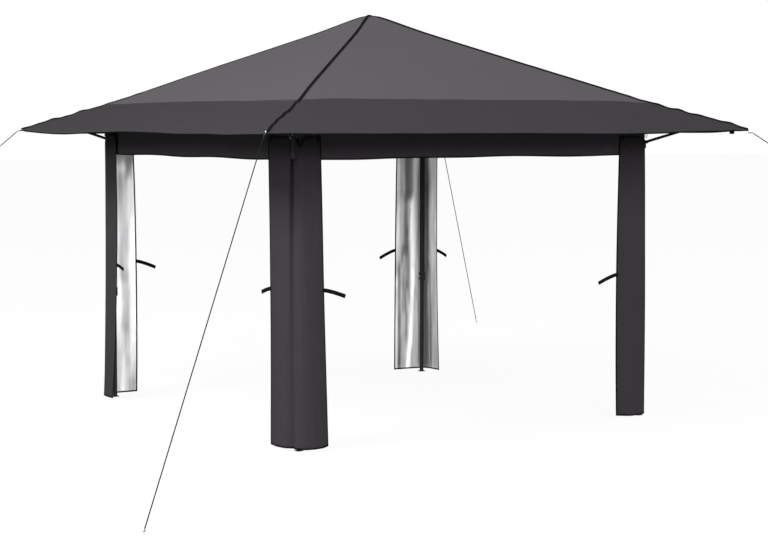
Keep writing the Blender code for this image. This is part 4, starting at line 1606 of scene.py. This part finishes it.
def add_cheeks(bm, point, aside, along, off, size):
    """A nylon plate on either side of a bar."""
    for sign in (-1, 1):
        add_block(bm, frame_at(point + aside * sign * off, along, aside), size, 0.001, slot=1)


def rafter(corner, sx, sy):
    high, low = bar_axis(f"rafter_{corner}", sx, sy, RAFTER_R)
    aside = across(sx, sy)
    half = (high + low) / 2
    along = (high - low).normalized()
    bm = bmesh.new()
    add_bar(bm, low, half - along * FOLD_GAP, RAFTER_PROFILE, aside)
    add_bar(bm, half + along * FOLD_GAP, high, RAFTER_PROFILE, aside)
    add_cheeks(bm, half, aside, along, 0.0092, (0.003, 0.024, 0.090))
    for reach in (-FOLD_BOLT, FOLD_BOLT):
        add_bolt(bm, half + along * reach, aside, 0.0108, slot=2)
    new_piece(f"rafter_bar_{corner}", bm, (POWDER, NYLON, ZINC), replaces=[f"rafter_{corner}"])


def eave_arm(corner, sx, sy):
    """The arm with its end cap, the brace below it and the joint between them."""
    root, tip = bar_axis(f"eave_arm_{corner}", sx, sy, ARM_R)
    tip.z = min(tip.z, roof_z(tip.x, tip.y) - ARM_UNDER)
    aside = across(sx, sy)
    along = (tip - root).normalized()
    bm = bmesh.new()
    add_bar(bm, root, tip - along * 0.012, ARM_PROFILE, aside)
    add_bar(bm, tip - along * 0.030, tip, ARM_CAP, aside, slot=1)
    foot, head = bar_axis(f"eave_brace_{corner}", sx, sy, BRACE_R, rises=True)
    lean = (head - foot).normalized()
    add_bar(bm, foot, head - lean * 0.004, BRACE_PROFILE, aside)
    pivot = head + lean * 0.012
    add_cheeks(bm, pivot, aside, along, 0.0072, (0.0025, 0.030, 0.040))
    add_bolt(bm, pivot - UP * 0.006, aside, 0.0088, slot=2)
    new_piece(f"eave_support_{corner}", bm, (POWDER, NYLON, ZINC),
              replaces=[f"eave_arm_{corner}", f"eave_brace_{corner}"])


hub_bm = bmesh.new()
add_turned(hub_bm, Matrix.Identity(4), HUB_SHAPE, 40)
for sx, sy in CORNERS.values():
    out = outward(sx, sy)
    add_lugs(hub_bm, UP * (top_of_rafter.z - 0.004) + out * 0.018, out, 0.0150, 0.030, 0.080)
new_piece("hub_moulding", hub_bm, (NYLON, ZINC), replaces=["centre_hub"])
for corner, (sx, sy) in CORNERS.items():
    rafter(corner, sx, sy)
    eave_arm(corner, sx, sy)
print("hub, rafters and arms built")

# %% [markdown]
# ## Guy ropes by rule
# A laid rope is three strands twisted round each other. The tree resamples a straight
# line, pushes each point out from it by an angle that grows with the length, and gives
# each of the three strands a third of a turn's head start.

# %% Rope tree
def resampled(tree, mesh, step):
    """A line as a curve with points at an even step."""
    curve = add_node(tree, "GeometryNodeMeshToCurve", {"Mesh": mesh})
    return add_node(tree, "GeometryNodeResampleCurve", {"Curve": curve, "Length": step},
                    mode="LENGTH")


def make_rope_tree():
    tree, start, end = new_group("Geometry", "Laid rope", {
        "Step": 0.004, "Lay length": 0.02, "Strand offset": 0.001, "Strand radius": 0.001,
        "Fibre": None}, ("Geometry",))
    fine = resampled(tree, start["Geometry"], start["Step"])
    along = tree.nodes.new("GeometryNodeSplineParameter").outputs["Length"]
    turns = maths(tree, "DIVIDE", along, start["Lay length"])
    normal = tree.nodes.new("GeometryNodeInputNormal")
    tangent = tree.nodes.new("GeometryNodeInputTangent")
    other = add_node(tree, "ShaderNodeVectorMath", {0: normal, 1: tangent},
                     operation="CROSS_PRODUCT")
    outline = add_node(tree, "GeometryNodeCurvePrimitiveCircle", {
        "Resolution": 5, "Radius": start["Strand radius"]})
    strands = []
    for strand in range(3):
        angle = maths(tree, "MULTIPLY", maths(tree, "ADD", turns, strand / 3), 2 * math.pi)
        pushes = [add_node(tree, "ShaderNodeVectorMath", {
            0: axis, "Scale": maths(tree, "MULTIPLY", maths(tree, wave, angle),
                                    start["Strand offset"])}, operation="SCALE")
            for axis, wave in ((normal, "COSINE"), (other, "SINE"))]
        push = add_node(tree, "ShaderNodeVectorMath", dict(enumerate(pushes)), operation="ADD")
        twisted = add_node(tree, "GeometryNodeSetPosition", {"Geometry": fine, "Offset": push})
        strands.append(add_node(tree, "GeometryNodeCurveToMesh", {
            "Curve": twisted, "Profile Curve": outline, "Fill Caps": True}))
    close_tree(tree, end, strands, start["Fibre"])
    return tree


def lines_mesh(name, paths):
    """A mesh of loose edges, one chain for each path."""
    verts, edges = [], []
    for path in paths:
        first = len(verts)
        verts += [tuple(p) for p in path]
        edges += [(first + i, first + i + 1) for i in range(len(path) - 1)]
    mesh = bpy.data.meshes.new(name)
    mesh.from_pydata(verts, edges, [])
    return mesh


ROPE_TREE = make_rope_tree()
print("tree:", ROPE_TREE.name)

# %% Build ropes, hooks and pegs
ROPE_OFFSET = 0.0020
STRAND = 0.0020
ROPE_STEP = 0.0045
ROPE_LAY = 0.020
EYE_R = 0.0062              # of the rope's loop round its peg
EYE_WIRE = 0.0018
TIP_RING = 0.009            # radius of the zinc ring at the roof's tip
RING_WIRE = 0.0015
HOOK_R = 0.0075
HOOK_WIRE = 0.0030
ROPE_FOOT_Z = 0.016
PEG_R = 0.0035
PEG_WIRE = 0.0034
PEG_TURN = 0.010            # radius of the peg's hook
POCKET_LOW = 2.068

# From each tip to the middle of the pocket for the eave arm
TIP_POCKET = {"front_left": 0.072, "front_right": 0.116, "back_right": 0.072, "back_left": 0.060}


def add_wire(bm, points, radius, count=8, slot=0):
    """A round wire through points, turned without twisting."""
    steep = abs((points[1] - points[0]).normalized().z) > 0.9
    side = Vector((1, 0, 0)) if steep else UP
    stations = []
    for i, point in enumerate(points):
        ahead = points[min(i + 1, len(points) - 1)] - points[max(i - 1, 0)]
        along = ahead.normalized()
        side = (side - along * along.dot(side)).normalized()
        stations.append((point, side, along.cross(side)))
    add_sweep(bm, stations, circle(radius, count), slot)


def rope_ends(corner, sx, sy):
    """The roof's tip and the middle of the peg's wire, where the rope loops round it."""
    peg_low, peg_high = box(f"ground_peg_{corner}")
    foot_x = (peg_low.x if sx > 0 else peg_high.x) + sx * PEG_R
    foot_y = (peg_low.y if sy > 0 else peg_high.y) + sy * PEG_R
    return (Vector((sx * ROOF_HALF, sy * ROOF_HALF, EAVE_Z - 0.001)),
            Vector((foot_x, foot_y, ROPE_FOOT_Z)))


def arc(centre, across_way, up_way, radius, start, span, count):
    """Points on an arc, from a start angle over a span, both in half turns."""
    angles = (math.pi * (start + span * i / count) for i in range(count + 1))
    return [centre + across_way * (radius * math.cos(a)) + up_way * (radius * math.sin(a))
            for a in angles]


def guy_rope(corner, sx, sy):
    tip, foot = rope_ends(corner, sx, sy)
    run = (foot - tip).normalized()
    start = tip + run * 0.052
    end = foot - run * 0.012
    bm = grow(f"guy_rope_strands_{corner}", ROPE_TREE, {
        "Step": ROPE_STEP, "Lay length": ROPE_LAY, "Strand offset": ROPE_OFFSET,
        "Strand radius": STRAND, "Fibre": ROPE_FIBRE,
    }, lines_mesh("rope_line", [(start, end)]))
    bmesh.ops.recalc_face_normals(bm, faces=bm.faces)
    level = Vector((run.x, run.y, 0)).normalized()
    aside = level.cross(UP)
    throat = end + run * 0.001
    add_wire(bm, [throat, *arc(foot, level, aside, EYE_R, -0.82, 1.64, 18), throat], EYE_WIRE, 6)
    add_turned(bm, frame_at(end - run * 0.004, run, aside),
               ((0.0, -0.008), (0.0035, -0.006), (0.0042, 0.0), (0.0035, 0.006), (0.0, 0.008)), 10)
    new_piece(f"guy_rope_laid_{corner}", bm, (ROPE_FIBRE,),
              replaces=[f"guy_rope_{corner}"])


def tip_hook(corner, sx, sy):
    """The ring at the roof's tip and the hook of the rope."""
    tip, foot = rope_ends(corner, sx, sy)
    run = (foot - tip).normalized()
    aside = across(sx, sy)
    bm = bmesh.new()
    ring_centre = tip - outward(sx, sy) * 0.008 - UP * 0.013
    add_ring(bm, frame_at(ring_centre, aside, run), circle(TIP_RING, 24), RING_WIRE)
    hook = arc(ring_centre + run * 0.007, run, aside, HOOK_R, 1.15, -1.35, 14)
    hook += [tip + run * 0.034, tip + run * 0.044, tip + run * 0.056]
    add_wire(bm, hook, HOOK_WIRE, 8, slot=1)
    new_piece(f"tip_hook_{corner}", bm, (ZINC, POWDER))


def tip_loop(corner, sx, sy):
    """The webbing loop that holds the ring, and the pocket for the eave arm."""
    bm = bmesh.new()
    stations = []
    for reach, lift in ((-0.055, -0.004), (-0.030, -0.0045), (0.0, -0.003), (0.006, -0.006),
                        (0.0, -0.009), (-0.030, -0.0085), (-0.055, -0.006)):
        spread = 0.999 * (ROOF_HALF + reach / ROOT2)
        point = Vector((sx * spread, sy * spread, roof_z(sx * spread, sy * spread) + lift))
        stations.append((point, across(sx, sy), UP))
    add_sweep(bm, stations, rounded_rect(0.018, 0.0014, 0.0006, 1))
    spread = ROOF_HALF - TIP_POCKET[corner] / ROOT2
    top = roof_z(sx * spread, sy * spread) - 0.009
    middle = Vector((sx * spread, sy * spread, (top + POCKET_LOW) / 2))
    add_block(bm, frame_at(middle, UP, outward(sx, sy)), (0.034, 0.026, top - POCKET_LOW), 0.004)
    new_piece(f"tip_loop_{corner}", bm, (WEBBING,))


def ground_peg(corner, sx, sy):
    foot = rope_ends(corner, sx, sy)[1]
    out = outward(sx, sy)
    base = Vector((foot.x, foot.y, 0.0))
    points = [base, base + UP * 0.012, base + UP * 0.024]
    points += arc(base + out * PEG_TURN + UP * 0.0265, out, UP, PEG_TURN, 1, -1, 8)
    points.append(base + out * (2 * PEG_TURN) + UP * 0.020)
    bm = bmesh.new()
    add_wire(bm, points, PEG_WIRE, 12)
    new_piece(f"peg_wire_{corner}", bm, (ZINC,),
              replaces=[f"ground_peg_{corner}"])


for corner, (sx, sy) in CORNERS.items():
    for build in (guy_rope, tip_hook, tip_loop, ground_peg):
        build(corner, sx, sy)
print("ropes, hooks and pegs built")

# %% [markdown]
# ## Stitches by rule
# Every binding is sewn on with a running stitch. The tree walks along lines at an even
# pitch, sets a short piece of thread at each step, and turns it along the line. So a seam
# needs no more than its path, a little above the cloth that it holds.

# %% Stitch tree
def make_stitch_tree():
    tree, start, end = new_group("Geometry", "Stitches", {
        "Pitch": 0.008, "Stitch length": 0.0045, "Thread width": 0.0011, "Thread": None},
        ("Geometry",))
    steps = resampled(tree, start["Geometry"], start["Pitch"])
    size = add_node(tree, "ShaderNodeCombineXYZ", {
        "X": start["Stitch length"], "Y": start["Thread width"], "Z": start["Thread width"]})
    one = add_node(tree, "GeometryNodeMeshCube", {"Size": size})
    tangent = tree.nodes.new("GeometryNodeInputTangent")
    lie = add_node(tree, "FunctionNodeAlignRotationToVector", {"Vector": tangent}, axis="X")
    row = add_node(tree, "GeometryNodeInstanceOnPoints", {
        "Points": steps, "Instance": one, "Rotation": lie})
    close_tree(tree, end, (row,), start["Thread"])
    return tree


STITCH_TREE = make_stitch_tree()
print("tree:", STITCH_TREE.name)

# %% Sew the seams
SEAM_STEPS = 240
SEAM_IN = 0.014             # share of a curtain's width from its edge to the seam
STITCHES = {"Pitch": 0.008, "Stitch length": 0.0045, "Thread width": 0.0010, "Thread": THREAD}


def ring_path(place_at, count=4 * 90):
    """A closed path round the gazebo, from a function of the turn."""
    return [place_at(i / count) for i in range(count)] + [place_at(0.0)]


def eave_seam(inset):
    def place_at(turn):
        x, y = ring_place(turn, ROOF_HALF - inset)
        return roof_point(x, y, 0.0003)

    return place_at


def sew(name, paths):
    bm = grow(name, STITCH_TREE, STITCHES, lines_mesh(name + "_lines", paths))
    print(f"{name}: {len(bm.faces) // 6} stitches")
    new_piece(name, bm, (THREAD,))


thread_up = UP * 0.0004
sew("hip_stitches", [[place(s, j / SEAM_STEPS) + thread_up for j in range(6, SEAM_STEPS)]
                     for place in hips.values() for s in (0.12, 0.88)])
sew("eave_stitches", [ring_path(eave_seam(inset)) for inset in (0.010, ROOF_HALF - BEND - 0.004)])
sew("valance_stitches", [ring_path(lambda turn: valance_place(turn, 0.034) * 1.0004)])
for corner, place in curtains.items():
    ups = [0.004 + 0.99 * j / SEAM_STEPS for j in range(SEAM_STEPS)]
    lift = Vector((*CORNERS[corner], 0)) * 0.0008
    paths = [[place(s, t) + lift for t in ups] for s in (SEAM_IN, 1 - SEAM_IN)]
    paths += [[place(SEAM_IN + (1 - 2 * SEAM_IN) * i / 80, 0.004) + lift for i in range(81)]]
    sew(f"curtain_stitches_{corner}", paths)
